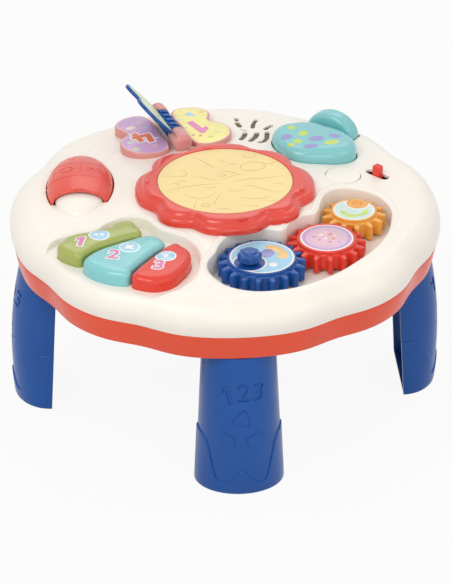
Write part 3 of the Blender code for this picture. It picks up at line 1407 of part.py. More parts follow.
def build_batteries():
    door = outline_solid("battery_door", door_outline(), SKIRT_FOOT,
                         SKIRT_FOOT + DOOR_THICKNESS, curved=False)
    cut(door, cylinder("door_hole", DOOR_SCREW, SCREW_RADIUS + RUN_GAP, SKIRT_FOOT - OVERRUN,
                       SKIRT_FOOT + DOOR_THICKNESS + OVERRUN, SMALL_STEPS))
    sunk = SKIRT_FOOT + DOOR_THICKNESS / 2
    cut(door, cylinder("door_sink", DOOR_SCREW, SCREW_HEAD_RADIUS + RUN_GAP,
                       SKIRT_FOOT - OVERRUN, sunk, SMALL_STEPS))
    bake(door)
    finish(door, "skirt_red")
    axis_height = SKIRT_FOOT + DOOR_THICKNESS + 2 * SEAT_GAP + CELL_RADIUS
    for number in range(CELLS):
        side = 1 if number % 2 == 0 else -1
        start = -CELL_LENGTH / 2
        profile = [
            (0.0, start + CELL_LENGTH + CELL_NIB), (CELL_NIB_RADIUS, start + CELL_LENGTH + CELL_NIB),
            (CELL_NIB_RADIUS, start + CELL_LENGTH), (CELL_RADIUS, start + CELL_LENGTH),
            (CELL_RADIUS, start), (0.0, start)]
        cell = turned(f"cell_{number + 1}", profile, SMALL_STEPS)
        spot = (0.0, CELL_PITCH * (number - (CELLS - 1) / 2), axis_height)
        cell.data.transform(Matrix.Translation(spot)
                            @ Matrix.Rotation(side * math.pi / 2, 4, "Y"))
        finish(cell, "cell_wrap")
    build_screw("door_screw", DOOR_SCREW, sunk - SEAT_GAP, DOOR_THICKNESS / 2 - SEAT_GAP,
                SCREW_LENGTH - CASING_WALL)


def build_screw(name, place, seat, head, length):
    """A screw that points up, its head under the seat."""
    profile = [
        (0.0, seat + length), (SCREW_RADIUS * 0.5, seat + length),
        (SCREW_RADIUS, seat + length - SCREW_RADIUS), (SCREW_RADIUS, seat),
        (SCREW_HEAD_RADIUS, seat), (SCREW_HEAD_RADIUS, seat - head), (0.0, seat - head)]
    screw = turned(name, profile, SMALL_STEPS)
    screw.data.transform(Matrix.Translation((*place, 0.0)))
    finish(screw, "steel")


def build_casing_screws():
    seat = SKIRT_FOOT + COUNTERBORE - SEAT_GAP
    for number, angle in enumerate(SCREW_ANGLES):
        build_screw(f"casing_screw_{number + 1}", polar(SCREW_REACH, angle), seat, SCREW_HEAD,
                    SCREW_LENGTH)


build_top_casing()
build_lower_casing()
build_legs()
build_drum_ring()
build_drum_pad()
build_keys()
build_shell_button()
build_domes()
build_round_button()
build_switch()
build_gears()
build_crank()
build_book()
build_board()
build_speaker()
build_batteries()
build_casing_screws()
bpy.context.view_layer.update()
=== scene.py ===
"""The looks of a musical activity table: smooth mouldings, printed labels, lamps and camera.

Metres, +Z up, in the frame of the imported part. Every new piece is modelled in place.
"""
import math

import bmesh
import bpy
from mathutils import Matrix, Vector


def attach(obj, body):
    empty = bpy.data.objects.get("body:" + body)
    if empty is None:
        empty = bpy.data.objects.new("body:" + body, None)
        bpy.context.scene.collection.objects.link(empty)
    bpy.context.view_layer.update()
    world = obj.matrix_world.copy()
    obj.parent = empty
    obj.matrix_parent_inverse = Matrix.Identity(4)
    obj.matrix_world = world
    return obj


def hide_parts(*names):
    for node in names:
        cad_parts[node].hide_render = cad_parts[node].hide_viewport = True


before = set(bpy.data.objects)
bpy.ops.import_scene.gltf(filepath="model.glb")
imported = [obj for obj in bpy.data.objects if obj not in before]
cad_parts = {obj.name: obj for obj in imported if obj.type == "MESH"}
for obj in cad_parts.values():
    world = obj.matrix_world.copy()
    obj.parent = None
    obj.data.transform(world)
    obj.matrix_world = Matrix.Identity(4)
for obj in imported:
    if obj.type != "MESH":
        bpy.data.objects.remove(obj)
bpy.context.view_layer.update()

MM = 0.001
HAIR = 0.01 * MM


def thousandths(*pairs):
    """Points that are written as whole thousandths."""
    return [(x / 1000, y / 1000) for x, y in pairs]


# Table body
LEG_TOP = 0.1193
SKIRT_FOOT = 0.1196
FLOOR_TOP = 0.1221
JOINT = 0.1411
JOINT_GAP = 0.0003
TABLE_RADIUS = 0.1702
SKIRT_TAPER = 0.0040
SKIRT_ROUND = 0.0022
SCREW_CIRCLE = 0.1480
WALL = 0.0025
WIDEST_RADIUS = 0.1725
WIDEST_HEIGHT = 0.1513
CROWN_EDGE = 0.1525
CROWN_FOOT = 0.1693
DRUM_SEAT = 0.1755
DRUM_HOLE = 0.0490
ROUND_STEPS = 240
CROWN_POINTS = ((0.0720, 0.1755, -0.205), (0.0865, 0.1730, -0.125), (0.11225, 0.1707, -0.052),
                (0.1525, 0.1693, 0.0))
PINCH_DEPTH = 0.0052
PINCH_ANGLE = math.radians(28.0)
PINCH_WIDTH = math.radians(8.7)
PINCH_START = 0.1375
PINCH_FADE = 0.0300

# Colours, as light values
CREAM = (0.935, 0.890, 0.815)
SKIRT_RED = (0.790, 0.086, 0.036)
BRIGHT_RED = (0.760, 0.050, 0.028)
LEG_BLUE = (0.010, 0.084, 0.345)
TEAL = (0.220, 0.590, 0.620)
LEAF_GREEN = (0.370, 0.425, 0.092)
PAD_YELLOW = (0.940, 0.735, 0.345)
ORANGE = (0.830, 0.376, 0.053)
PINK = (0.690, 0.290, 0.265)
WHITE = (0.900, 0.890, 0.870)
LILAC = (0.580, 0.350, 0.610)
LEMON = (0.945, 0.860, 0.310)
LIME = (0.560, 0.700, 0.110)
VIOLET = (0.240, 0.210, 0.560)
# Painted shade: the brown of the shadowed gap round the drum pad
GAP_SHADE_BROWN = (0.330, 0.110, 0.060)
LINE_OCHRE = (0.600, 0.400, 0.085)


# Working by hand in object and edit mode

def drop_all():
    if bpy.context.object and bpy.context.object.mode != "OBJECT":
        bpy.ops.object.mode_set(mode="OBJECT")
    bpy.ops.object.select_all(action="DESELECT")


def take(piece):
    drop_all()
    piece.select_set(True)
    bpy.context.view_layer.objects.active = piece


def named(name):
    piece = bpy.context.object
    piece.name = name
    piece.data.name = name
    return piece


def edit(piece):
    take(piece)
    bpy.ops.object.mode_set(mode="EDIT")
    bpy.ops.mesh.select_mode(type="VERT")


def leave():
    bpy.ops.object.mode_set(mode="OBJECT")


def set_place(piece):
    """Put a piece's place, turn and size into its mesh."""
    take(piece)
    bpy.ops.object.transform_apply(location=True, rotation=True, scale=True)
    return piece


def tidy(piece):
    """Merge doubles and turn every face outwards."""
    edit(piece)
    bpy.ops.mesh.select_all(action="SELECT")
    bpy.ops.mesh.remove_doubles(threshold=0.002 * MM)
    bpy.ops.mesh.normals_make_consistent(inside=False)
    leave()
    return piece


def cut(piece, *tools, operation="DIFFERENCE"):
    """Cut a piece with tools, or fuse it with them or keep what they share. The tools go."""
    for tool in tools:
        take(piece)
        step = piece.modifiers.new("shape", "BOOLEAN")
        step.operation = operation
        step.object = tool
        step.solver = "EXACT"
        bpy.ops.object.modifier_apply(modifier=step.name)
        bpy.data.objects.remove(tool, do_unlink=True)
    return piece


def in_triangles(piece, cuts=0):
    """Split a flat piece's faces into triangles and, if asked, those once more."""
    edit(piece)
    bpy.ops.mesh.select_all(action="SELECT")
    bpy.ops.mesh.quads_convert_to_tris()
    if cuts:
        bpy.ops.mesh.subdivide(number_cuts=cuts)
    leave()
    return piece


def gather(name, pieces):
    """Join several pieces into one object."""
    drop_all()
    for piece in pieces:
        piece.select_set(True)
    bpy.context.view_layer.objects.active = pieces[0]
    bpy.ops.object.join()
    return named(name)


def copy_of(piece, name):
    twin = piece.copy()
    twin.data = piece.data.copy()
    twin.name = name
    twin.data.name = name
    bpy.context.scene.collection.objects.link(twin)
    return twin


def close_ring(end):
    """Fill or gather the ring that is picked."""
    if end == "fill":
        bpy.ops.mesh.edge_face_add()
    elif end == "gather":
        bpy.ops.mesh.merge(type="CENTER")


def close_ends(piece, ends, steps):
    """Close the last ring, which is still picked, and then the first one."""
    close_ring(ends[1])
    bpy.ops.mesh.select_all(action="DESELECT")
    shape = bmesh.from_edit_mesh(piece.data)
    shape.verts.ensure_lookup_table()
    for number in range(steps):
        shape.verts[number].select = True
    shape.select_flush_mode()
    bmesh.update_edit_mesh(piece.data)
    bpy.ops.mesh.select_mode(type="VERT")
    close_ring(ends[0])
    return tidy(piece)


def turned(name, profile, steps=64, ends=("fill", "fill")):
    """A stack of round rings along a profile of radius and height."""
    turns = [2 * math.pi * step / steps for step in range(steps)]
    return stacked(name, [level([polar(max(radius, HAIR), turn) for turn in turns], height)
                          for radius, height in profile], ends)


def stacked(name, rings, ends=("fill", "fill")):
    """Start from a circle with as many points as a ring and extrude it through the rings."""
    drop_all()
    count = len(rings[0])
    bpy.ops.mesh.primitive_circle_add(vertices=count, radius=MM)
    piece = named(name)
    edit(piece)
    bpy.ops.mesh.select_all(action="SELECT")
    shape = bmesh.from_edit_mesh(piece.data)
    shape.verts.ensure_lookup_table()
    order = {}
    for number, (spot, place) in enumerate(zip(shape.verts, rings[0])):
        spot.co = place
        order[spot.index] = number
    for ring in rings[1:]:
        bpy.ops.mesh.extrude_edges_move()
        shape = bmesh.from_edit_mesh(piece.data)
        shape.verts.index_update()
        fresh = {}
        for spot in shape.verts:
            if spot.select:
                for edge in spot.link_edges:
                    other = edge.other_vert(spot)
                    if not other.select:
                        fresh[spot] = order[other.index]
        for spot, number in fresh.items():
            spot.co = ring[number]
        order = {spot.index: number for spot, number in fresh.items()}
        bmesh.update_edit_mesh(piece.data)
    return close_ends(piece, ends, count)


def facing_up(loop):
    """A closed outline in counter-clockwise order."""
    area = sum(a[0] * b[1] - b[0] * a[1] for a, b in zip(loop, loop[1:] + loop[:1]))
    return loop if area > 0 else loop[::-1]


def drawn(points, steps=6):
    """The dense points of a closed outline drawn through a few points."""
    drop_all()
    bpy.ops.curve.primitive_bezier_circle_add(radius=MM)
    line = bpy.context.object
    line.data.dimensions = "2D"
    line.data.fill_mode = "NONE"
    line.data.resolution_u = steps
    spline = line.data.splines[0]
    spline.bezier_points.add(len(points) - len(spline.bezier_points))
    for spot, (x, y) in zip(spline.bezier_points, points):
        spot.co = (x, y, 0.0)
        spot.handle_left_type = "AUTO"
        spot.handle_right_type = "AUTO"
    spline.use_cyclic_u = True
    spline.resolution_u = steps
    take(line)
    bpy.ops.object.convert(target="MESH")
    line = bpy.context.object
    loop = [(v.co.x, v.co.y) for v in line.data.vertices]
    bpy.data.objects.remove(line, do_unlink=True)
    return facing_up(loop)


def level(loop, height):
    return [(x, y, height) for x, y in loop]


def quarter_round(steps, first=1):
    """The shares across and up along a quarter of a round."""
    turns = [math.pi / 2 * step / steps for step in range(first, steps + 1)]
    return [(1 - math.cos(turn), math.sin(turn)) for turn in turns]


def drawn_in(loop, share):
    """An outline scaled about its middle."""
    middle = [sum(spot[axis] for spot in loop) / len(loop) for axis in (0, 1)]
    return [(middle[0] + (x - middle[0]) * share, middle[1] + (y - middle[1]) * share)
            for x, y in loop]


def grown(loop, distance):
    """A counter-clockwise outline moved outwards by a distance."""
    moved = []
    for before, here, after in zip(loop[-1:] + loop[:-1], loop, loop[1:] + loop[:1]):
        one = Vector((here[1] - before[1], before[0] - here[0]))
        two = Vector((after[1] - here[1], here[0] - after[0]))
        if one.length < MM * 0.0001 or two.length < MM * 0.0001:
            moved.append(here)
            continue
        out = one.normalized() + two.normalized()
        if out.length < 0.01:
            out = one.normalized()
        out.normalize()
        stretch = distance / max(out.dot(one.normalized()), 0.5)
        moved.append((here[0] + out.x * stretch, here[1] + out.y * stretch))
    return moved


def evened(loop):
    """Points spread more evenly along a closed outline, with its sharpest bends eased."""
    eased = []
    for before, here, after in zip(loop[-1:] + loop[:-1], loop, loop[1:] + loop[:1]):
        spot = Vector(here)
        shift = (Vector(before) + Vector(after)) / 2 - spot
        along = Vector(after) - Vector(before)
        if along.length > MM * 0.0001:
            along.normalize()
            shift = along * shift.dot(along) * 0.5 + shift * 0.06
        eased.append(tuple(spot + shift))
    return eased


def shrunk(loop, distance):
    """A closed outline drawn in by a distance, a small stride at a time."""
    strides = max(math.ceil(distance / (0.3 * MM)), 1)
    for _ in range(strides):
        loop = evened(grown(loop, -distance / strides))
    return loop


def slab(name, loop, bottom, top, edge=0.0, rise=None, steps=5):
    """A slab between two heights with a rounded upper edge."""
    rise = edge if rise is None else rise
    rings = [level(loop, bottom), level(loop, top - rise)]
    reach = 0.0
    for across, up in quarter_round(steps) if edge else ():
        loop = shrunk(loop, edge * across - reach)
        reach = edge * across
        rings.append(level(loop, top - rise + rise * up))
    return stacked(name, rings)


def nearest_on(line, place):
    """The point of an open line that lies nearest to a place."""
    spot = Vector(place)
    best = None
    for start, end in zip(line, line[1:]):
        start = Vector(start)
        along = Vector(end) - start
        share = min(max((spot - start).dot(along) / along.length_squared, 0.0), 1.0)
        near = start + along * share
        if best is None or (near - spot).length < (best - spot).length:
            best = near
    return best


def cushion(name, loop, spine, bottom, top, edge, rise, crest, steps=10):
    """A slab that rounds off towards the line along its middle and swells a little there."""
    inward = [nearest_on(spine, spot) - Vector(spot) for spot in loop]
    rings = [level(loop, bottom), level(loop, top - rise)]

    def ring_at(depths, height):
        rings.append([(x + way.x / way.length * depth, y + way.y / way.length * depth, height)
                      for (x, y), way, depth in zip(loop, inward, depths)])

    edges = [min(edge, 0.85 * way.length) for way in inward]
    for across, up in quarter_round(steps):
        ring_at([width * across for width in edges], top - rise + rise * up)
    for share in (0.25, 0.5, 0.75, 0.92):
        ring_at([width + (way.length - width) * share for width, way in zip(edges, inward)],
                top + crest * (1 - (1 - share) ** 2))
    return stacked(name, rings)


def height_on(piece):
    """A function that gives the height of a piece's upper side over a place."""
    bpy.context.view_layer.update()

    def surface(x, y):
        hit, place, _, _ = piece.ray_cast((x, y, 1.0), (0.0, 0.0, -1.0))
        return place.z if hit else 0.0
    return surface


def decal(name, body, loop, surface, lift, finish):
    """A thin printed patch that lies on a curved surface."""
    rings = [level(loop, -0.3 * MM)]
    for share, high in ((1.0, lift - 0.05), (0.985, lift), (0.8, lift), (0.55, lift), (0.3, lift)):
        rings.append(level(drawn_in(loop, share), high * MM))
    ship(laid(stacked(name, rings, ends=("fill", "gather")), surface), body, finish)


def block(name, low, high):
    drop_all()
    middle = [(a + b) / 2 for a, b in zip(low, high)]
    bpy.ops.mesh.primitive_cube_add(size=1.0, location=middle,
                                    scale=[b - a for a, b in zip(low, high)])
    return set_place(named(name))


def rod(name, place, radius, bottom, top, steps=48):
    drop_all()
    bpy.ops.mesh.primitive_cylinder_add(vertices=steps, radius=radius, depth=top - bottom,
                                        location=(place[0], place[1], (top + bottom) / 2))
    return set_place(named(name))


def stroke(name, points, width, closed=False, taper=0.35):
    """A soft round stroke through flat points, thinner at its ends."""
    drop_all()
    bpy.ops.curve.primitive_nurbs_path_add(radius=MM)
    line = bpy.context.object
    line.data.dimensions = "3D"
    spline = line.data.splines[0]
    spline.points.add(max(len(points) - len(spline.points), 0))
    while len(spline.points) > len(points):
        points = points + [points[-1]]
    last = len(points) - 1
    for number, (spot, place) in enumerate(zip(spline.points, points)):
        spot.co = (*place[:2], place[2] if len(place) > 2 else 0.0, 1.0)
        share = number / last
        spot.radius = 1.0 if closed else 1.0 - taper * abs(2 * share - 1) ** 3
    spline.order_u = min(3, len(points))
    spline.use_cyclic_u = closed
    spline.use_endpoint_u = not closed
    spline.resolution_u = 5
    line.data.bevel_depth = width / 2
    line.data.bevel_resolution = 2
    line.data.use_fill_caps = True
    take(line)
    bpy.ops.object.convert(target="MESH")
    return tidy(named(name))


DRAWN_NUMBERS = {
    "1": ((-0.085, -0.36), (0.085, -0.36), (0.085, 0.36), (-0.030, 0.36), (-0.230, 0.215),
          (-0.230, 0.085), (-0.085, 0.150)),
    "4": ((0.050, -0.36), (0.210, -0.36), (0.210, -0.19), (0.300, -0.19), (0.300, -0.05),
          (0.210, -0.05), (0.210, 0.20), (0.050, 0.20), (0.050, -0.05), (-0.120, -0.05),
          (-0.060, 0.34), (-0.225, 0.34), (-0.290, -0.05), (-0.290, -0.19), (0.050, -0.19))}


def numeral(name, digit, size, thickness, grow=0.0):
    """A plain number as a flat mesh about its middle, facing up, grown by a share of its size."""
    if digit in DRAWN_NUMBERS:
        loop = [(x * size, y * size) for x, y in DRAWN_NUMBERS[digit]]
        return slab(name, grown(loop, size * grow), -thickness / 2, thickness / 2)
    drop_all()
    bpy.ops.object.text_add()
    text = bpy.context.object
    text.data.body = digit
    text.data.size = size
    text.data.align_x = "CENTER"
    text.data.align_y = "CENTER"
    text.data.extrude = thickness / 2
    text.data.offset = size * (0.015 + grow)
    text.data.resolution_u = 5
    bpy.ops.object.convert(target="MESH")
    return tidy(named(name))


def laid(piece, surface, flat=1.0):
    """Lay a flat piece's mesh on a surface given as a height over a place."""
    for spot in piece.data.vertices:
        spot.co.z = surface(spot.co.x, spot.co.y) + spot.co.z * flat
    piece.data.update()
    return piece


def moved(piece, place, angle=0.0, lift=0.0):
    piece.data.transform(Matrix.Translation((place[0], place[1], lift))
                         @ Matrix.Rotation(angle, 4, "Z"))
    return piece


def ship(piece, body, finish, node=None, degrees=40.0):
    """Give a piece its shading and finish, the body that it rides on and the node it replaces."""
    take(piece)
    if degrees:
        bpy.ops.object.shade_smooth_by_angle(angle=math.radians(degrees))
    piece.data.materials.clear()
    piece.data.materials.append(finish)
    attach(piece, body)
    if node:
        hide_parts(node)


# Forms of the table

def polar(radius, angle):
    return (radius * math.cos(angle), radius * math.sin(angle))


def fade(value, start, length):
    share = min(max((value - start) / length, 0.0), 1.0)
    return share * share * (3 - 2 * share)


def pinch(angle):
    """0 on a lobe of the outline, 1 at the bottom of a pinch."""
    total = 0.0
    for quarter in range(4):
        for side in (-1, 1):
            away = math.remainder(angle - quarter * math.pi / 2 - side * PINCH_ANGLE,
                                  2 * math.pi)
            total += math.exp(-(away / PINCH_WIDTH) ** 2)
    return total


def lobed(radius, angle, depth=PINCH_DEPTH, start=PINCH_START, length=PINCH_FADE):
    return radius - depth * fade(radius, start, length) * pinch(angle)


def lobed_ring(radius, height, steps=ROUND_STEPS, **pinching):
    ring = []
    for step in range(steps):
        angle = 2 * math.pi * step / steps
        ring.append((*polar(lobed(radius, angle, **pinching), angle), height))
    return ring


def crown(radius):
    """Height of the table's top at a distance from its axis, as one smooth curve."""
    if radius <= CROWN_POINTS[0][0]:
        return DRUM_SEAT
    for (r0, z0, m0), (r1, z1, m1) in zip(CROWN_POINTS, CROWN_POINTS[1:]):
        if radius <= r1:
            span = r1 - r0
            t = (radius - r0) / span
            return (z0 * (2 * t ** 3 - 3 * t ** 2 + 1) + m0 * span * (t ** 3 - 2 * t ** 2 + t)
                    + z1 * (3 * t ** 2 - 2 * t ** 3) + m1 * span * (t ** 3 - t ** 2))
    share = min((radius - CROWN_EDGE) / (WIDEST_RADIUS - CROWN_EDGE), 1.0)
    return WIDEST_HEIGHT + (CROWN_FOOT - WIDEST_HEIGHT) * math.sqrt(max(1 - share ** 2, 0.0))


def top_at(x, y):
    """Height of the table's top over a place, the lobed edge with it."""
    radius = math.hypot(x, y)
    angle = math.atan2(y, x)
    straight = radius
    for _ in range(3):
        straight = radius + PINCH_DEPTH * fade(straight, PINCH_START, PINCH_FADE) * pinch(angle)
    return crown(straight)


def flared(loop, floor_of, fillet, lid=None):
    """The upper rings of an opening that flares at the table's top into a soft edge."""
    rings = []
    for step, (across, up) in enumerate(quarter_round(4, 0) + [(1.0, 1.0)]):
        ring = []
        for (x, y), spot in zip(loop, grown(loop, fillet * across)):
            floor = floor_of(x, y)
            top = max(top_at(x, y), floor)
            height = top - min(fillet, (top - floor) * 0.7) * (1 - up)
            if step == 4:
                height += 0.02 * MM
            if step == 5:
                height = lid or height + 8 * MM
            ring.append((*spot, max(height, floor + 0.02 * MM * (step + 1))))
        rings.append(ring)
    return rings


def cutter(loop, bottom, fillet):
    """A cutting tool that follows an outline from a flat bottom."""
    return stacked("opening", [level(loop, bottom)] + flared(loop, lambda x, y: bottom, fillet))


def placed(points, place, angle):
    """Flat points turned and then moved to a place."""
    return [(place[0] + x * math.cos(angle) - y * math.sin(angle),
             place[1] + x * math.sin(angle) + y * math.cos(angle)) for x, y in points]


def rounded_box(width, depth, corner, place=(0.0, 0.0), angle=0.0, steps=6):
    points = []
    for quarter, (sx, sy) in enumerate(((1, 1), (-1, 1), (-1, -1), (1, -1))):
        for step in range(steps + 1):
            turn = math.pi / 2 * (quarter + step / steps)
            points.append((sx * (width / 2 - corner) + corner * math.cos(turn),
                           sy * (depth / 2 - corner) + corner * math.sin(turn)))
    return placed(points, place, angle)


def oval(place, width, depth, angle=0.0, steps=40):
    turns = [2 * math.pi * step / steps for step in range(steps)]
    return placed([(width / 2 * math.cos(turn), depth / 2 * math.sin(turn)) for turn in turns],
                  place, angle)


# Materials

def feed(tree, node, values):
    """Set a node's inputs: an output is linked, anything else is put in as a value."""
    for key, value in values.items():
        if isinstance(value, bpy.types.NodeSocket):
            tree.links.new(value, node.inputs[key])
        else:
            node.inputs[key].default_value = value
    return node


def added(tree, kind, **values):
    """A new node with its inputs, where an underscore stands for a space."""
    return feed(tree, tree.nodes.new(f"ShaderNode{kind}"),
                {key.replace("_", " "): value for key, value in values.items()})


def worked_out(tree, operation, first, second):
    """The result of a sum, such as the greater of two values."""
    node = tree.nodes.new("ShaderNodeMath")
    node.operation = operation
    return feed(tree, node, {0: first, 1: second}).outputs[0]


def noise_of(tree, place, scale, detail=2.0, rough=0.5):
    return added(tree, "TexNoise", Scale=scale, Detail=detail, Roughness=rough,
                 Vector=place).outputs["Fac"]


def spread(tree, value, low=0.0, high=1.0, start=0.3, end=0.7):
    """Map a noise value from its usual range to a range of its own."""
    return added(tree, "MapRange", Value=value, From_Min=start, From_Max=end, To_Min=low,
                 To_Max=high).outputs["Result"]


def blend_colours(tree, share, first, second):
    node = tree.nodes.new("ShaderNodeMix")
    node.data_type = "RGBA"
    first, second = [(*tint, 1.0) if isinstance(tint, tuple) else tint for tint in (first, second)]
    return feed(tree, node, {0: share, 6: first, 7: second}).outputs[2]


def tinted(colour, share):
    return tuple(min(max(value * share, 0.0), 1.0) for value in colour)


def new_finish(name, coat=0.0, specular=0.5, metallic=0.0):
    material = bpy.data.materials.new(name)
    material.use_nodes = True
    tree = material.node_tree
    shader = feed(tree, tree.nodes["Principled BSDF"], {
        "Specular IOR Level": specular, "Metallic": metallic, "Coat Weight": coat,
        "Coat Roughness": 0.12})
    return material, tree, shader, added(tree, "TexCoord").outputs["Object"]


def surface_grain(tree, shader, place, base, grain, depth, roughness, swing):
    """A base colour, fine bumps and a roughness that varies over the face."""
    bump = added(tree, "Bump", Strength=0.35, Distance=depth,
                 Height=noise_of(tree, place, grain, 3.0, 0.6))
    broad = noise_of(tree, place, 38.0)
    feed(tree, shader, {
        "Base Color": base, "Normal": bump.outputs["Normal"],
        "Roughness": spread(tree, broad, roughness - swing, roughness + swing)})


def moulded(name, colour, roughness=0.30, shade=0.05, grain=900.0, depth=0.02 * MM, coat=0.15,
            specular=0.5):
    """Glossy coloured moulding with a faint flow of its colour and a fine skin."""
    material, tree, shader, place = new_finish(name, coat, specular)
    flow = spread(tree, noise_of(tree, place, 14.0, 4.0, 0.55))
    base = blend_colours(tree, flow, tinted(colour, 1 - shade), tinted(colour, 1 + shade))
    dust = spread(tree, noise_of(tree, place, 1500.0), 0.0, 0.05, 0.55, 0.80)
    base = blend_colours(tree, dust, base, tinted(colour, 0.6))
    surface_grain(tree, shader, place, base, grain, depth, roughness, 0.05)
    return material


def printed(name, colour, ink=None, scale=160.0, share=0.10, second=None, roughness=0.36):
    """A printed label: a soft ground with small scattered dots of one or two inks."""
    material, tree, shader, place = new_finish(name, 0.25)
    flow = spread(tree, noise_of(tree, place, 45.0, 5.0, 0.6))
    base = blend_colours(tree, flow, tinted(colour, 0.93), tinted(colour, 1.05))
    for number, tint in enumerate(i for i in (ink, second) if i):
        shift = added(tree, "Mapping", Location=(0.37 * number, 0.11 * number, 0.0), Vector=place)
        cells = added(tree, "TexVoronoi", Scale=scale * (1.0 - 0.35 * number),
                      Vector=shift.outputs["Vector"])
        dots = spread(tree, cells.outputs["Distance"], 1.0, 0.0, share, share + 0.06)
        base = blend_colours(tree, dots, base, tint)
    surface_grain(tree, shader, place, base, 1400.0, 0.008 * MM, roughness, 0.04)
    return material


def metal(name, colour, roughness=0.32):
    material, tree, shader, place = new_finish(name, 0.0, 0.5, 1.0)
    flow = spread(tree, noise_of(tree, place, 300.0, 3.0))
    base = blend_colours(tree, flow, tinted(colour, 0.82), colour)
    surface_grain(tree, shader, place, base, 2600.0, 0.01 * MM, roughness, 0.08)
    return material


cream_skin = moulded("cream_casing_plastic", CREAM, 0.34, 0.018, 700.0, 0.025 * MM, 0.12)
red_skirt = moulded("red_skirt_plastic", SKIRT_RED, 0.30, coat=0.05, specular=0.3)
red_ring = moulded("red_drum_ring_plastic", BRIGHT_RED, 0.24, coat=0.3)
red_key = moulded("red_key_plastic", BRIGHT_RED, 0.26, coat=0.2, specular=0.35)
blue_leg = moulded("blue_leg_plastic", LEG_BLUE, 0.30, 0.09, coat=0.04, specular=0.28)
blue_gear = moulded("blue_gear_plastic", LEG_BLUE, 0.26, 0.09, coat=0.1, specular=0.4)
teal_key = moulded("teal_key_plastic", TEAL, 0.24, coat=0.3)
green_key = moulded("green_key_plastic", LEAF_GREEN, 0.24, coat=0.3)
yellow_pad = moulded("yellow_drum_pad", PAD_YELLOW, 0.46, 0.03, 500.0, 0.04 * MM, 0.0)
orange_gear = moulded("orange_gear_plastic", ORANGE, 0.26, coat=0.3)
pink_book = moulded("pink_book_plastic", PINK, 0.28, coat=0.2)
moulded("white_button_plastic", WHITE, 0.32, 0.02)
brown_grille = moulded("brown_grille_backing", (0.115, 0.070, 0.048), 0.45, 0.25, 300.0)
# Painted shade for the dark gap between the drum pad and its ring
painted_gap_shade = moulded("brown_drum_seam", GAP_SHADE_BROWN, 0.5, coat=0.0)
ochre_line = moulded("ochre_drum_lines", LINE_OCHRE, 0.5, 0.10, coat=0.0)
black_paper = moulded("black_speaker_cone", (0.03, 0.028, 0.026), 0.65, 0.2, 400.0, 0.1 * MM, 0.0)
moulded("green_circuit_board", (0.02, 0.16, 0.06), 0.45, 0.12)
moulded("dark_cell_wrap", (0.09, 0.09, 0.10), 0.40, 0.12)
metal("steel_pin_and_screw", (0.58, 0.58, 0.60))
label_white = printed("label_white_border", (0.90, 0.90, 0.89))
label_lilac = printed("label_lilac_print", LILAC, (0.80, 0.60, 0.72), 300.0, 0.10, (0.42, 0.28, 0.60))
label_rose = printed("label_rose_print", (0.78, 0.50, 0.62), (0.50, 0.32, 0.62), 340.0, 0.08)
label_mint = printed("label_mint_print", (0.62, 0.80, 0.76), (0.30, 0.62, 0.40), 280.0, 0.07)
label_lemon = printed("label_lemon_print", LEMON, (0.80, 0.83, 0.28), 240.0, 0.14, (0.93, 0.72, 0.25))
label_purple = printed("label_purple_print", (0.62, 0.40, 0.66), (0.44, 0.36, 0.66), 330.0, 0.13,
                       (0.76, 0.50, 0.62))
label_leaf = printed("label_leaf_print", (0.62, 0.74, 0.42), (0.85, 0.87, 0.55), 300.0, 0.10)
label_orange = printed("label_orange_ink", (0.83, 0.22, 0.07))
label_magenta = printed("label_magenta_ink", (0.72, 0.20, 0.42))
label_violet = printed("label_violet_ink", VIOLET)
label_lime = printed("label_lime_ink", LIME)
label_cream = printed("label_cream_ink", (0.90, 0.83, 0.62))
label_sky_plain = printed("label_sky_ground", (0.36, 0.66, 0.86), (0.62, 0.82, 0.92), 180.0, 0.05)
label_violet_soft = printed("label_soft_violet_ink", (0.30, 0.30, 0.62))
label_apricot = printed("label_apricot_ink", (0.90, 0.58, 0.22))
label_pale_lilac = printed("label_pale_lilac", (0.70, 0.52, 0.72), (0.78, 0.64, 0.80), 260.0, 0.08)
label_pink_edge = printed("label_pink_edge", (0.86, 0.60, 0.56))
label_magenta_soft = printed("label_soft_magenta_ink", (0.76, 0.24, 0.48))
red_shell = moulded("red_shell_plastic", (0.780, 0.075, 0.045), 0.30, coat=0.2)


# Casings

def casing_profile(inset=0.0):
    """The top from the drum's hole out over the shoulder down to the joint."""
    points = []
    radius = DRUM_HOLE
    while radius < CROWN_EDGE - 2 * MM:
        points.append((radius, crown(radius) - inset))
        radius += 4.5 * MM
    steps = 14
    for step in range(steps + 1):
        turn = math.pi / 2 * (1 - step / steps)
        points.append((CROWN_EDGE + (WIDEST_RADIUS - inset - CROWN_EDGE) * math.cos(turn),
                       WIDEST_HEIGHT + (CROWN_FOOT - inset - WIDEST_HEIGHT) * math.sin(turn)))
    foot = JOINT + JOINT_GAP
    for step in range(1, 7):
        share = step / 6
        points.append((WIDEST_RADIUS - inset
                       - (WIDEST_RADIUS - TABLE_RADIUS) * share ** 1.7,
                       WIDEST_HEIGHT - (WIDEST_HEIGHT - foot) * share))
    return points


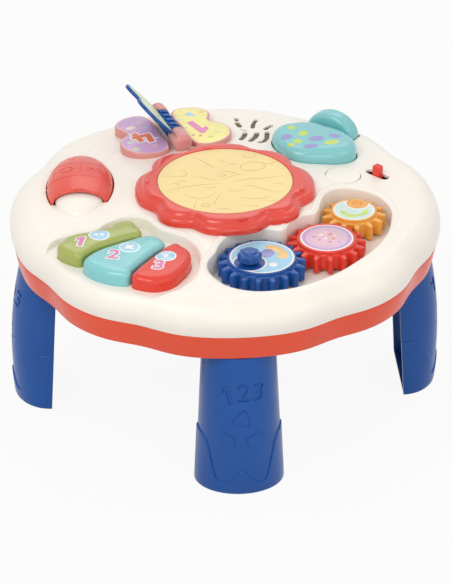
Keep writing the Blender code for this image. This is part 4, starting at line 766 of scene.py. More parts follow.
TRAY_FLOOR = 0.1530
GEARS = {"blue": (0.0214, -0.0966), "red": (0.0746486, -0.0700512),
         "yellow": (0.1007868, -0.0265500)}
RIM_SHARES = thousandths(
    (-379, 190), (-240, 262), (-71, 285), (84, 225), (233, 150), (396, 112), (565, 100), (729, 133),
    (858, 208), (1000, 286), (1160, 278), (1275, 120), (1245, -120), (1065, -315), (800, -460),
    (460, -530), (100, -528), (-250, -410), (-450, -180), (-455, 30))
KEY_BANK = (-0.0850, -0.0920)
KEY_BANK_SIZE = 0.1000
KEY_TOP = 0.1762
KEY_RECESS = 0.1645
RECESS_LID = 0.1900
KEY_SHARES = {
    "green": thousandths(
        (-520, 170), (-485, 245), (-410, 325), (-310, 365), (-205, 385), (-120, 415), (-30, 520),
        (65, 530), (125, 440), (140, 310), (30, 258), (-105, 190), (-235, 105), (-305, 30),
        (-345, -8), (-425, 30), (-490, 95)),
    "teal": thousandths(
        (-325, -75), (-285, 8), (-220, 76), (-96, 156), (38, 226), (155, 278), (235, 282),
        (295, 230), (320, 150), (225, 20), (125, -115), (45, -235), (10, -325), (-70, -322),
        (-150, -290), (-230, -235), (-295, -160)),
    "red": thousandths(
        (352, 128), (398, 150), (450, 105), (500, 30), (512, -60), (480, -180), (420, -290),
        (355, -380), (300, -418), (205, -440), (112, -412), (38, -353), (71, -245), (151, -125),
        (251, 5)),
}
RECESS_SHARES = thousandths(
    (-600, 130), (-560, 320), (-380, 425), (-200, 470), (-110, 565), (40, 622), (180, 560),
    (290, 385), (480, 235), (575, 60), (565, -150), (460, -390), (290, -525), (50, -525),
    (-220, -405), (-460, -160))
SHELL_PLACE = (-0.1150, 0.0265)
SHELL_TURN = math.radians(-3.8)
SHELL_WIDTH = 0.0534
SHELL_LENGTH = 0.0960
SHELL_RISE = 0.0146
SHELL_BASE = 0.1700
SHELL_FRONT = 0.0270
SPOTTED_PLACE = (0.0800, 0.0800)
SPOTTED_SIZE = 0.0660
SPOTTED_TOP = 0.1838
SPOTTED_SHARES = thousandths(
    (-360, -370), (-230, -450), (0, -465), (260, -455), (410, -390), (485, -270), (490, -130),
    (420, 50), (305, 190), (150, 310), (10, 400), (-200, 410), (-390, 360), (-500, 230), (-515, 30),
    (-450, -200))
FIN_PLACE = polar(0.1462, math.radians(48.1))
FIN_TURN = math.radians(-36.0)
FIN_BASE = 0.16951
ROUND_PLACE = (0.0980, 0.0300)
ROUND_RADIUS = 0.0142
SWITCH_PLACE = (0.1262, 0.0315)
SWITCH_ANGLE = math.radians(-45)
PRESS_GAP = 0.0008


def scaled(shares, place, size):
    return [(place[0] + size * x, place[1] + size * y) for x, y in shares]


def in_bank(shares):
    return scaled(shares, KEY_BANK, KEY_BANK_SIZE)


def rim_points():
    first = Vector(GEARS["blue"])
    span = Vector(GEARS["yellow"]) - first
    left = Vector((-span.y, span.x))
    return [tuple(first + span * along + left * aside) for along, aside in RIM_SHARES]


GEAR_REACH = {"blue": 0.0343, "red": 0.0308, "yellow": 0.02555}


def clear_of_gears(loop):
    """Push an outline out where it would come too near to the tips of a gear."""
    points = []
    for spot in loop:
        for colour, place in GEARS.items():
            away = Vector(spot) - Vector(place)
            reach = GEAR_REACH[colour] + 1.6 * MM
            if away.length < reach:
                spot = tuple(Vector(place) + away.normalized() * reach)
        points.append(spot)
    return points


def shell_slot_loop():
    """The outline of the shell button's opening, an oval cut straight at its front."""
    half = SHELL_WIDTH / 2 + PRESS_GAP
    reach = SHELL_LENGTH / 2 + PRESS_GAP
    start = math.asin((-SHELL_FRONT - PRESS_GAP) / reach)
    turns = [start + (math.pi - 2 * start) * step / 72 for step in range(73)]
    return placed([(half * math.cos(turn), reach * math.sin(turn)) for turn in turns],
                  SHELL_PLACE, SHELL_TURN)


GRILLE_BARS = (
    (4.4, ((25.1, 110.1), (23.6, 103.9), (20.6, 97.6))),
    (4.6, ((35.0, 109.3), (32.4, 100.8), (28.1, 94.2))),
    (4.0, ((43.4, 110.5), (42.0, 98.6), (39.0, 92.6), (35.4, 90.6))),
    (3.6, ((19.6, 138.8), (20.1, 135.4))),
    (4.4, ((19.8, 131.0), (21.6, 123.4))),
    (2.4, ((22.2, 117.2), (25.6, 115.0))),
    (3.6, ((36.2, 135.1), (33.4, 128.3), (32.0, 120.4))),
    (4.0, ((47.8, 123.0), (44.8, 120.8), (42.4, 117.0))),
)


def bar_loop(width, places):
    """The outline of a bent bar with round ends along flat places in millimetres."""
    sides = ([], [])
    last = len(places) - 1
    for number, place in enumerate(places):
        before = Vector(places[max(number - 1, 0)])
        after = Vector(places[min(number + 1, last)])
        across = (after - before).normalized().orthogonal() * width / 2
        for side, way in zip(sides, (1, -1)):
            side.append(Vector(place) + across * way)
    loop = []
    for side, far in ((sides[0], sides[1][-1]), (sides[1][::-1], sides[0][0])):
        loop += side
        middle = (side[-1] + far) / 2
        for step in range(1, 6):
            spoke = side[-1] - middle
            spoke.rotate(Matrix.Rotation(-math.pi * step / 6, 2))
            loop.append(middle + spoke)
    return facing_up([(spot.x * MM, spot.y * MM) for spot in loop])


TRAY_LOOP = clear_of_gears(drawn(rim_points(), 5))
RECESS_LOOP = drawn(in_bank(RECESS_SHARES), 5)


def grille_back():
    """The brown plate close under the grille's slots."""
    corners = [polar(radius, math.radians(degrees)) for radius, degrees in (
        (0.0920, 84.0), (0.0920, 62.0), (0.1475, 67.0), (0.1475, 87.5))]
    loop = []
    for (x0, y0), (x1, y1) in zip(corners, corners[1:] + corners[:1]):
        loop += [(x0 + (x1 - x0) * step / 10, y0 + (y1 - y0) * step / 10) for step in range(10)]
    rings = [level(loop, -2.6 * MM)]
    rings += [level(drawn_in(loop, share), -1.9 * MM) for share in (1.0, 0.75, 0.5, 0.25)]
    plate = laid(stacked("grille_back", rings, ends=("fill", "gather")), top_at)
    ship(plate, "table", brown_grille)


def on_shoulder(loop, drop):
    """An outline held in where the shoulder is that much lower than the recess."""
    held = []
    for x, y in loop:
        share = 1.0
        while KEY_RECESS - top_at(x * share, y * share) > drop:
            share -= 0.0005
        held.append((x * share, y * share))
    return held


def recess_floor(x, y):
    """Height of the recess's floor, blended softly into the shoulder at its outer side."""
    blend = 2.4 * MM
    top = top_at(x, y)
    drop = KEY_RECESS - top
    near = max(blend - abs(drop), 0.0)
    return min(KEY_RECESS, top) - near ** 2 / (4 * blend) + 0.1 * max(drop - blend / 2, 0.0)


def recess_room():
    """The tool of the key recess: it runs out on the shoulder at the outer side."""
    middle = Vector(KEY_BANK)
    wide = on_shoulder(RECESS_LOOP, 3.0 * MM)
    rings = []
    for share in (0.02, 0.3, 0.5, 0.6, 0.68, 0.74, 0.79, 0.83, 0.865, 0.895, 0.92, 0.94, 0.96, 0.98):
        ring = [tuple(middle + (Vector(spot) - middle) * share) for spot in wide]
        rings.append([(x, y, recess_floor(x, y)) for x, y in ring])
    return stacked("recess_room", rings + flared(wide, recess_floor, 1.8 * MM, RECESS_LID),
                   ends=("gather", "fill"))


def casing_top():
    """The cream top with its tray, recess, openings and grille."""
    rings = [lobed_ring(*spot) for spot in casing_profile() + casing_profile(WALL)[::-1]]
    casing = stacked("casing_top", rings + rings[:1], ends=(None, None))
    cups = gather("cups", [slab("cup", grown(loop, WALL), floor - WALL, DRUM_SEAT + WALL)
                           for loop, floor in ((TRAY_LOOP, TRAY_FLOOR), (RECESS_LOOP, KEY_RECESS))])
    under = stacked("under_crown", [lobed_ring(*spot) for spot in casing_profile(WALL / 2)])
    cut(casing, cut(cups, under, operation="INTERSECT"), operation="UNION")
    hole = 2 * ROUND_RADIUS + PRESS_GAP
    openings = [(shell_slot_loop(), SHELL_BASE - 0.0100, 0.5),
                (grown(drawn(scaled(SPOTTED_SHARES, SPOTTED_PLACE, SPOTTED_SIZE), 5), PRESS_GAP),
                 0.150, 0.6),
                (oval(ROUND_PLACE, hole, hole), 0.150, 0.4),
                (rounded_box(0.0215, 0.0078, 0.0036, SWITCH_PLACE, SWITCH_ANGLE), 0.150, 0.5)]
    openings += [(bar_loop(*bar), 0.152, 0.4) for bar in GRILLE_BARS]
    tools = [cutter(TRAY_LOOP, TRAY_FLOOR, 1.6 * MM), recess_room()]
    tools += [cutter(loop, bottom, fillet * MM) for loop, bottom, fillet in openings]
    tools.append(slab("fin_slot", rounded_box(0.0440 + 2 * PRESS_GAP, 0.0150 + 2 * PRESS_GAP,
                                              0.0030, FIN_PLACE, FIN_TURN), 0.1600, 0.1900))
    tools += [slab("key_slot", grown(drawn(in_bank(shares), 4), 0.3 * MM),
                   KEY_RECESS - 2 * WALL, KEY_RECESS + MM) for shares in KEY_SHARES.values()]
    ship(tidy(cut(casing, *tools)), "table", cream_skin, "top_casing")


def casing_skirt():
    """The red band under the joint, with the floor and the tongue inside the top."""
    lip = TABLE_RADIUS - WALL - JOINT_GAP
    foot = TABLE_RADIUS - SKIRT_TAPER
    profile = [(0.030, SKIRT_FOOT), (0.090, SKIRT_FOOT), (0.140, SKIRT_FOOT),
               (foot - SKIRT_ROUND, SKIRT_FOOT)]
    profile += [(foot - SKIRT_ROUND + SKIRT_ROUND * up, SKIRT_FOOT + SKIRT_ROUND * across)
                for across, up in quarter_round(6)]
    for step in range(1, 9):
        share = step / 8
        profile.append((foot + SKIRT_TAPER * share ** 0.8,
                        SKIRT_FOOT + SKIRT_ROUND
                        + (JOINT - 0.5 * MM - SKIRT_FOOT - SKIRT_ROUND) * share))
    profile += [(TABLE_RADIUS - 0.15 * MM, JOINT - 0.15 * MM), (TABLE_RADIUS - 0.5 * MM, JOINT),
                (lip, JOINT), (lip, JOINT + 4.5 * MM), (lip - 2 * MM, JOINT + 4.5 * MM),
                (foot - WALL, FLOOR_TOP + 2.5 * MM), (foot - 2 * WALL, FLOOR_TOP),
                (0.140, FLOOR_TOP), (0.030, FLOOR_TOP)]
    skirt = stacked("casing_skirt", [lobed_ring(*spot) for spot in profile])
    low = SKIRT_FOOT - MM
    high = FLOOR_TOP + MM
    holes = [slab("door_rebate", rounded_box(0.0587, 0.0597, 0.0040, (0.0, 0.0045)), low, high)]
    holes += [rod("screw_room", polar(SCREW_CIRCLE, math.radians(angle)), 4.2 * MM, low, high, 32)
              for angle in (20, 110, 200, 290)]
    holes += [moved(slab("socket", rounded_box(0.0346, 0.0116, 0.0033, (0.0, -0.150)), low, high),
                    (0.0, 0.0), quarter * math.pi / 2) for quarter in range(4)]
    cut(skirt, gather("skirt_holes", holes))
    ship(tidy(skirt), "table", red_skirt, "lower_casing")


# Legs

LEG_FOOT_WIDTH = 0.0690
LEG_TOP_WIDTH = 0.0580
LEG_FOOT_FRONT = 0.1716
LEG_TOP_FRONT = 0.1655
LEG_BULGE = 0.00525
LEG_FOOT_REAR = 0.1437
LEG_TOP_REAR = 0.1370
LEG_WALL = 0.0024
SHOE_PROUD = 0.0011
SHOE_ROUND = 0.0016
LEG_COLUMNS = 104


def leg_half(share):
    """Half the leg's width at a share of its height."""
    return (LEG_FOOT_WIDTH + (LEG_TOP_WIDTH - LEG_FOOT_WIDTH) * share) / 2


def leg_spot(turn, height, out=0.0):
    """A place on the front leg's outside: turn runs round its face, out moves off the face."""
    share = height / LEG_TOP
    half = leg_half(share)
    rear = LEG_FOOT_REAR + (LEG_TOP_REAR - LEG_FOOT_REAR) * share
    front = LEG_FOOT_FRONT + (LEG_TOP_FRONT - LEG_FOOT_FRONT) * share
    deep = front + 4 * LEG_BULGE * share * (1 - share) - rear
    away = Vector((math.cos(turn) / half, math.sin(turn) / deep)).normalized() * out
    return (half * math.cos(turn) + away.x, -(rear + deep * math.sin(turn) + away.y), height)


def shoe_edge(turn):
    """Height of the shoe's edge: high at the sides, low in two dips, a wave in the middle."""
    side = abs(math.cos(turn))
    return (0.0096 + 0.0364 * fade(side, 0.52, 0.36) + 0.0028 * fade(side, 0.80, 0.20)
            + 0.0126 * math.exp(-(side / 0.23) ** 2))


def leg_body():
    """The smooth outside from the sole over the shoe's edge to the top."""
    turns = [math.pi * step / LEG_COLUMNS for step in range(LEG_COLUMNS + 1)]
    edges = [shoe_edge(turn) for turn in turns]
    low = 1.5 * MM
    rings = [([height * MM] * len(turns), SHOE_PROUD - sunk * MM)
             for height, sunk in ((0.0, 1.2), (0.25, 0.55), (0.75, 0.15), (1.5, 0.0))]
    rings += [([low + (edge - SHOE_ROUND - low) * step / 8 for edge in edges], SHOE_PROUD)
              for step in range(1, 9)]
    for step in range(1, 6):
        bend = math.pi / 2 * step / 5
        rings.append(([edge - SHOE_ROUND * (1 - math.sin(bend)) for edge in edges],
                      SHOE_PROUD * math.cos(bend)))
    rings += [([edge + (LEG_TOP - edge) * step / 28 for edge in edges], 0.0)
              for step in range(1, 29)]
    return stacked("leg", [[leg_spot(turn, height, out) for turn, height in zip(turns, heights)]
                           for heights, out in rings])


def leg_room():
    """The space inside the open back of a leg."""
    rings = []
    for step in range(9):
        height = LEG_WALL + (LEG_TOP - 2 * LEG_WALL) * step / 8
        ring = [leg_spot(math.pi * turn / 48, height, -LEG_WALL) for turn in range(49)]
        behind = ring[0][1] + 0.012
        rings.append([(ring[0][0], behind, height), *ring, (ring[-1][0], behind, height)])
    return stacked("leg_room", rings)


def on_leg(piece):
    """Bend a flat mesh, across by height, round the face of the front leg."""
    for spot in piece.data.vertices:
        across, height, out = spot.co
        turn = math.acos(max(min(across / leg_half(height / LEG_TOP), 0.99), -0.99))
        spot.co = leg_spot(turn, height, out)
    piece.data.update()
    return piece


TENON_SIZE = (0.034, 0.011, 0.003)
TENON_PLACE = (0.0, -0.150)
TENON_RISE = 0.0115
LEG_NUMBERS = (("1", (-0.0100, 0.0895), 10), ("2", (0.0010, 0.0910), -2), ("3", (0.0125, 0.0905), -6))
LEG_LINES = (
    ((1.3, 77.2), (-1.2, 75.0), (-7.0, 69.0), (-7.8, 66.2), (-5.0, 64.8), (3.5, 63.2), (5.8, 63.8),
     (5.8, 66.5), (4.0, 73.8), (2.6, 76.8)),
    ((-15.0, 56.0), (-10.5, 56.2), (-7.0, 53.5), (-5.0, 49.5), (-5.2, 45.0)),
    ((5.5, 44.0), (4.5, 47.5), (3.4, 51.2), (3.6, 52.2), (8.0, 54.5), (12.5, 57.2), (13.8, 56.8),
     (16.8, 53.0)))


def leg_grooves():
    """The tools of numbers, a triangle, an arc and a tilted square, engraved in outline."""
    tools = []
    for digit, place, degrees in LEG_NUMBERS:
        tool = in_triangles(moved(numeral("leg_number", digit, 0.0205, 2.4 * MM), place,
                                  math.radians(degrees)))
        for spot in tool.data.vertices:
            spot.co.z += 0.35 * MM
        tools.append(tool)
    tools += [stroke("leg_line", [(x / 1000, y / 1000) for x, y in line], 1.15 * MM,
                     closed=number == 0) for number, line in enumerate(LEG_LINES)]
    return [on_leg(tool) for tool in tools]


def legs():
    leg = cut(leg_body(), leg_room(), *leg_grooves())
    tenon = slab("leg_tenon", rounded_box(*TENON_SIZE, TENON_PLACE), LEG_TOP - 1.2 * MM,
                 LEG_TOP + TENON_RISE, 0.6 * MM)
    leg = tidy(gather("leg", [leg, tenon]))
    for quarter, side in enumerate(("front", "right", "back", "left")):
        twin = moved(copy_of(leg, f"dressed_leg_{side}"), (0.0, 0.0), quarter * math.pi / 2)
        ship(twin, "table", blue_leg, f"leg_{side}", 38.0)
    bpy.data.objects.remove(leg, do_unlink=True)


# Drum

RING_FOOT = 0.1758
RING_TOP = 0.1866
RING_OUTER = 0.0722
RING_INNER = 0.0544
RING_SHELF = 0.1782
RING_LEDGE = 0.0036
RING_PINCH = 0.0062
PAD_RADIUS = 0.0539
PAD_FOOT = 0.1802
PAD_TOP = 0.1863
PAD_LINE = 0.42 * MM
STEM_RADIUS = 0.0050
STEM_FOOT = 0.1511
# Radii of a thin ring in the gap between pad and ring, which carries painted shade
GAP_SHADE_INNER = 0.05392
GAP_SHADE_OUTER = 0.05438
RING_SECTION = thousandths(
    (0, 300), (0, 60), (12, 22), (45, 0), (120, 0), (220, 8), (330, 22), (440, 45), (530, 75),
    (585, 115), (620, 175), (650, 245), (685, 295), (735, 325), (800, 350), (865, 395), (920, 465),
    (962, 560), (988, 680), (1000, 810), (1000, 975), (985, 1000))
NUBS = ((-0.0620, 0.0043), (-0.0096, 0.0565), (0.0600, -0.0167), (0.0086, -0.0634))


def drum_ring():
    """The lobed ring: a sloping upper band, a wavy step and a bulging foot."""
    deep = RING_TOP - RING_FOOT
    width = RING_OUTER - RING_INNER
    section = [(RING_INNER + width * across, RING_TOP - deep * down)
               for across, down in RING_SECTION]
    section += [(RING_INNER - RING_LEDGE, RING_FOOT), (RING_INNER - RING_LEDGE, RING_SHELF),
                (RING_INNER, RING_SHELF)]
    rings = [lobed_ring(radius, height, 288, depth=RING_PINCH,
                        start=RING_INNER + 0.1 * width, length=0.6 * width)
             for radius, height in section]
    ring = stacked("drum_ring_body", rings + [rings[0]], ends=(None, None))
    nubs = [slab("ring_nub", oval(place, 9.0 * MM, 3.8 * MM,
                                  math.atan2(place[1], place[0]) + math.pi / 2),
                 RING_TOP - 2.2 * MM, RING_TOP + 0.65 * MM, 1.1 * MM, 0.9 * MM) for place in NUBS]
    ship(gather("dressed_drum_ring", [ring] + nubs), "table", red_ring, "drum_ring")


PAD_LINES = (
    ((-49, -15), (-38, -10), (-26, -7), (-12, -5), (-3, -5)),
    ((50, 6), (40, 3), (30, 1), (21, 2), (12, -1), (5, -3)),
    ((-25, 43), (-17, 36), (-12, 28), (-7, 22)),
    ((-50, 11), (-42, 9), (-34, 9), (-29, 12), (-31, 19), (-34, 22)),
    ((-26, 7), (-20, 8), (-15, 4), (-9, 1), (-3, 1)),
    ((-35, -20), (-29, -26), (-21, -29), (-14, -26), (-8, -18)),
    ((-24, -30), (-27, -38), (-28, -45)),
    ((7, -29), (17, -32), (27, -32), (34, -29)),
    ((26, -33), (34, -38), (38, -35)),
    ((12, -10), (20, -9), (27, -15), (35, -21), (44, -22)),
    ((33, 27), (38, 24), (44, 30)),
    ((-3, -16), (-8, -28), (-12, -40)),
    ((-20, -9), (-14, -13), (-8, -10)),
    ((-4, 14), (2, 16), (8, 12), (14, 8)),
    ((-8, 9), (-3, 12), (2, 9), (-2, 6), (-7, 7)),
    ((0, 2), (4, 6), (8, 8)),
    ((-44, -3), (-40, -1), (-36, -4), (-39, -6)),
    ((-40, 3), (-36, 1), (-33, 3), (-31, 0)),
    ((4, -13), (0, -17), (6, -19), (12, -17)),
    ((-12, -44), (-8, -48), (-3, -46), (1, -49)),
    ((12, -42), (16, -45), (21, -43), (23, -46)),
    ((36, -6), (40, -9), (44, -8), (46, -12)),
    ((-4, 38), (-1, 33), (3, 31)),
    ((2, 26), (7, 29), (12, 26)),
    ((20, 43), (15, 40), (21, 37), (27, 38), (28, 43)),
)


def drum_lines():
    """Fine lines drawn over the pad: crossing sweeps, small hooks and two rounds."""
    height = PAD_TOP - 0.02 * MM
    lines = [stroke("pad_line", level([(x * MM, y * MM) for x, y in line], height), PAD_LINE,
                    taper=0.7) for line in PAD_LINES]
    for x, y, width, depth in ((24, 22, 21, 15), (-18, -40, 7, 5)):
        ring = level(oval((x * MM, y * MM), width * MM, depth * MM, 0.2, 14), height)
        lines.append(stroke("pad_round", ring, PAD_LINE, closed=True))
    ship(gather("drum_pad_lines", lines), "drum", ochre_line, degrees=0)


def drum_pad():
    profile = [(PAD_RADIUS - 3.5 * MM, PAD_FOOT), (PAD_RADIUS, PAD_FOOT),
               (PAD_RADIUS, PAD_TOP - 0.5 * MM), (PAD_RADIUS - 0.15 * MM, PAD_TOP - 0.15 * MM),
               (PAD_RADIUS - 0.5 * MM, PAD_TOP)]
    profile += [(PAD_RADIUS * (1 - step / 6), PAD_TOP) for step in range(1, 6)] + [(0.0, PAD_TOP)]
    pad = turned("drum_pad_disc", profile, 192, ends=("fill", "gather"))
    stem = rod("stem", (0.0, 0.0), STEM_RADIUS, STEM_FOOT, PAD_FOOT + 2 * MM, 40)
    ship(gather("dressed_drum_pad", [pad, stem]), "drum", yellow_pad, "drum_pad")


def drum_seam():
    """A thin brown ring in the gap between the pad and its ring: painted shade that stands in for the
    gap's shadow.
    """
    low = PAD_TOP - 3.0 * MM
    top = PAD_TOP - 0.35 * MM
    profile = [(GAP_SHADE_INNER, low), (GAP_SHADE_OUTER, low), (GAP_SHADE_OUTER, top), (GAP_SHADE_INNER, top)]
    # The ring's brown is painted shade of the gap, not a real seal
    gap_shade_ring = turned("drum_seam", profile + profile[:1], 192, ends=(None, None))
    ship(gap_shade_ring, "table", painted_gap_shade, degrees=0)


# Keys

KEY_FOOT = 0.1597
KEY_STICKERS = {
    "green": ((-0.1037, -0.0635), (-0.1180, -0.0730), "1", green_key, "green_plastic"),
    "teal": ((-0.0810, -0.0850), (-0.0940, -0.0960), "2", teal_key, "teal_plastic"),
    "red": ((-0.0538, -0.1010), (-0.0602, -0.1150), "3", red_key, "bright_red"),
}
KEY_EDGES = {"green": 0.0052, "teal": 0.0070, "red": 0.0066}
KEY_SPINES = {
    "green": thousandths(
        (-400, 175), (-250, 235), (-80, 335), (45, 410)),
    "teal": thousandths(
        (-165, -150), (-80, -60), (70, 75), (195, 165)),
    "red": thousandths(
        (190, -300), (280, -210), (360, -80), (410, 30)),
}


def sign_on(body, place, size, digit, surface, ink, border, degrees):
    """A plain number in ink on its own pale border, laid on a surface."""
    for name, grow, low, high, finish in (("border", 0.062, -0.40, 0.10, border),
                                          ("ink", 0.010, -0.30, 0.20, ink)):
        number = numeral(f"{body}_number_{name}", digit, size, (high - low) * MM, grow)
        moved(in_triangles(number, 1), place, math.radians(degrees), (low + high) / 2 * MM)
        ship(laid(number, surface), body, finish, degrees=0)


def label(name, body, loop, low, high, finish):
    """A thin printed piece inside an outline, between two heights."""
    piece = slab(f"{name}_label", loop, low, high, min(0.06 * MM, (high - low) * 0.4), steps=2)
    ship(piece, body, finish)


def key_marks(name, place):
    """The outlines of the small white mark on a key's sticker, another one on each key."""
    x, y = place
    if name == "green":
        return [oval((x + aside, y), 0.0036, 0.0036) for aside in (-0.0022, 0.0022)]
    if name == "teal":
        return [rounded_box(0.0085, 0.0026, 0.0010, place, 0.5 + turn)
                for turn in (0.0, math.pi / 2)]
    return [oval(place, 0.0046, 0.0046)] + [rounded_box(0.0095, 0.0014, 0.0006, (x, y + aside))
                                            for aside in (0.0040, -0.0040)]


def keys():
    for name, (spot, number_place, digit, finish, slot) in KEY_STICKERS.items():
        key = cushion(f"dressed_key_{name}", drawn(in_bank(KEY_SHARES[name]), 7),
                      in_bank(KEY_SPINES[name]), KEY_FOOT, KEY_TOP - 0.1 * MM, KEY_EDGES[name],
                      4.8 * MM, 0.5 * MM, 12)
        body = f"{name}_key"
        ship(key, body, finish, f"key_{name}")
        surface = height_on(key)
        for part, radius, lift, ink in (("border", 8.4, 0.10, label_white),
                                        ("ground", 7.2, 0.16, label_sky_plain)):
            decal(f"{name}_key_{part}", body,
                  oval(spot, 2 * radius * MM, 2 * radius * MM, steps=56), surface, lift, ink)
        for number, loop in enumerate(key_marks(name, spot)):
            decal(f"{name}_key_mark_{number}", body, loop, surface, 0.22, label_white)
        sign_on(body, number_place, 0.0190, digit, surface, label_magenta, label_white, -14)


# Shell button and its nose

SHELL_WALL = 0.0018
SHELL_SKIRT = 0.0060
SHELL_LIP = 0.0012
NOSE_WIDTH = 0.0450
NOSE_RISE = 0.0100
NOSE_TUCK = 0.0075


def shell_dome(name, width, length, rise, skirt, lip=0.0, steps=128):
    """Half of an oval ball on a straight skirt, in the shell's own frame."""
    levels = [(1.0, -skirt), (1.0, -skirt * 0.5)]
    if lip:
        out = 1.0 + 2 * lip / width
        levels = [(out, -skirt), (out, -skirt + lip), (1.0, -skirt + lip)]
    for step in range(21):
        turn = math.pi / 2 * step / 21
        levels.append((math.cos(turn), rise * math.sin(turn)))
    rings = [[(width / 2 * share * math.cos(2 * math.pi * step / steps),
               length / 2 * share * math.sin(2 * math.pi * step / steps), height)
              for step in range(steps)] for share, height in levels]
    rings.append([(x * 0.01, y * 0.01, rise) for x, y, z in rings[-1]])
    return stacked(name, rings, ends=("fill", "gather"))


def across_shell(y, low, high):
    """Places across the dome between two shares of its half width at a length."""
    half = SHELL_WIDTH / 2 / MM * math.sqrt(1 - (2 * y * MM / SHELL_LENGTH) ** 2)
    return [(half * math.sin(math.asin(low + (high - low) * step / 10)), y) for step in range(11)]


def shell_groove(places, width=1.3, closed=False):
    """A groove's tool that lies on the dome along flat places in millimetres."""
    line = []
    for x, y in [(x * MM, y * MM) for x, y in places]:
        share = 1 - (2 * x / SHELL_WIDTH) ** 2 - (2 * y / SHELL_LENGTH) ** 2
        line.append((x, y, SHELL_RISE * math.sqrt(max(share, 0.0)) + 0.05 * MM))
    return stroke("groove", line, width * MM, closed)


def soft_front(shell):
    """Round the sharp edges of the shell's open front."""
    edit(shell)
    shape = bmesh.from_edit_mesh(shell.data)
    bpy.ops.mesh.select_mode(type="EDGE")
    bpy.ops.mesh.select_all(action="DESELECT")
    for edge in shape.edges:
        if all(abs(spot.co.y + SHELL_FRONT) < 0.02 * MM and spot.co.z > -SHELL_SKIRT + 2 * MM
               for spot in edge.verts) and edge.calc_face_angle(0.0) > 0.6:
            edge.select = True
    bmesh.update_edit_mesh(shell.data)
    bpy.ops.mesh.bevel(offset=0.7 * MM, segments=4, affect="EDGES")
    leave()


SHELL_GROOVES = (
    ((6.5, 3.5), (9.0, 6.5), (11.5, 9.5)), ((6.0, 9.5), (9.0, 6.5), (12.5, 4.5)),
    ((-10.5, 29.5), (-8.5, 26.5), (-5.5, 27.5), (-4.5, 30.5)),
    ((5.0, 31.5), (8.0, 29.5), (10.5, 31.0), (12.5, 28.0)),
    ((-21.5, -1.0), (-20.8, 4.0), (-19.2, 9.0)), ((-18.8, 24.0), (-17.0, 28.0), (-14.5, 32.0)))


def shell_button():
    """The domed button with its cross grooves, small engraved marks and open front."""
    shell = shell_dome("dressed_shell", SHELL_WIDTH, SHELL_LENGTH, SHELL_RISE, SHELL_SKIRT,
                       SHELL_LIP)
    cut(shell, shell_dome("shell_room", SHELL_WIDTH - 2 * SHELL_WALL,
                          SHELL_LENGTH - 2 * SHELL_WALL, SHELL_RISE - SHELL_WALL,
                          SHELL_SKIRT + MM),
        block("shell_front", (-0.04, -0.06, -0.03), (0.04, -SHELL_FRONT, 0.03)))
    soft_front(shell)
    grooves = [shell_groove(across_shell(*line)) for line in (
        (-6.0, -0.985, -0.07), (-6.0, 0.03, 0.96), (17.5, -0.99, -0.06), (17.5, 0.02, 0.90))]
    grooves.append(shell_groove([(-11 + 5.2 * math.cos(t * 0.5236), 6 + 4.4 * math.sin(t * 0.5236))
                                 for t in range(12)], closed=True))
    grooves += [shell_groove(list(line)) for line in SHELL_GROOVES]
    grooves.append(shell_groove([(0.6, -4.0), (0.3, 4.0), (0.3, 12.0), (0.5, 16.0)], 0.8))
    moved(cut(shell, *grooves), SHELL_PLACE, SHELL_TURN, SHELL_BASE)
    ship(tidy(shell), "shell", red_shell, "shell_button")


def shell_nose():
    """The fixed round nose in front of the shell button, part of the casing."""
    nose = shell_dome("casing_nose", NOSE_WIDTH, SHELL_LENGTH, NOSE_RISE, WALL / 2)
    cut(nose, block("nose_back", (-0.05, -SHELL_FRONT + NOSE_TUCK, -0.03), (0.05, 0.06, 0.03)))
    moved(nose, SHELL_PLACE, SHELL_TURN, SHELL_BASE)
    ship(tidy(nose), "table", cream_skin)


# Push buttons and the slide

SPOTTED_DEEP = 0.0195
FIN_HALF = 0.0220
FIN_RISE = 0.0185
FIN_WAIST = -0.0040
FIN_FOOT = -0.0085
FIN_THICK = 0.0150
FIN_EDGE = 0.0045
ROUND_FOOT = 0.1660
ROUND_TOP = 0.1721
LEVER_FOOT = 0.1652
LEVER_TOP = 0.1778
RIDGE_RISE = 0.25 * MM
WELL_FOOT = 0.1640
WELL_TOP = 0.1660
SPOTTED_SPINE = thousandths(
    (-240, 60), (0, -10), (230, -130))
SPOTS = (
    ("lime", 61.8, 91.8, 6.6, 7.4, 0), ("lime", 70.5, 80.9, 7.6, 9.4, -30),
    ("lime", 64.6, 67.6, 7.2, 7.0, 0), ("lime", 58.8, 62.8, 6.4, 5.0, -10),
    ("lime", 92.0, 63.7, 12.6, 7.0, 14), ("violet", 56.3, 76.3, 8.8, 9.0, -10),
    ("violet", 80.1, 71.0, 13.0, 8.6, 10), ("violet", 95.6, 74.4, 9.6, 7.0, -15),
    ("violet", 74.4, 58.8, 12.6, 6.8, 6))


def spotted_button():
    """The bean-shaped push button with its oval spots."""
    loop, spine = [scaled(shares, SPOTTED_PLACE, SPOTTED_SIZE)
                   for shares in (SPOTTED_SHARES, SPOTTED_SPINE)]
    button = cushion("dressed_spotted_button", drawn(loop, 7), spine, SPOTTED_TOP - SPOTTED_DEEP,
                     SPOTTED_TOP - 0.5 * MM, 8.5 * MM, 8.5 * MM, 0.5 * MM, 14)
    ship(button, "spotted", teal_key, "spotted_button")
    surface = height_on(button)
    for number, (colour, x, y, width, depth, turn) in enumerate(SPOTS):
        spot = oval((x * MM, y * MM), width * MM, depth * MM, math.radians(turn), 36)
        decal(f"{colour}_spot_{number}", "spotted", spot, surface, 0.10,
              label_lime if colour == "lime" else label_violet_soft)


def pillow(name, loop, bottom, top, edge, steps=7):
    """A slab rounded alike on both its faces."""
    lower = [level(grown(loop, -edge * across), bottom + edge * (1 - up))
             for across, up in quarter_round(steps, 0)[::-1]]
    upper = [[(x, y, top - (z - bottom)) for x, y, z in ring] for ring in lower[::-1]]
    return stacked(name, lower + upper)


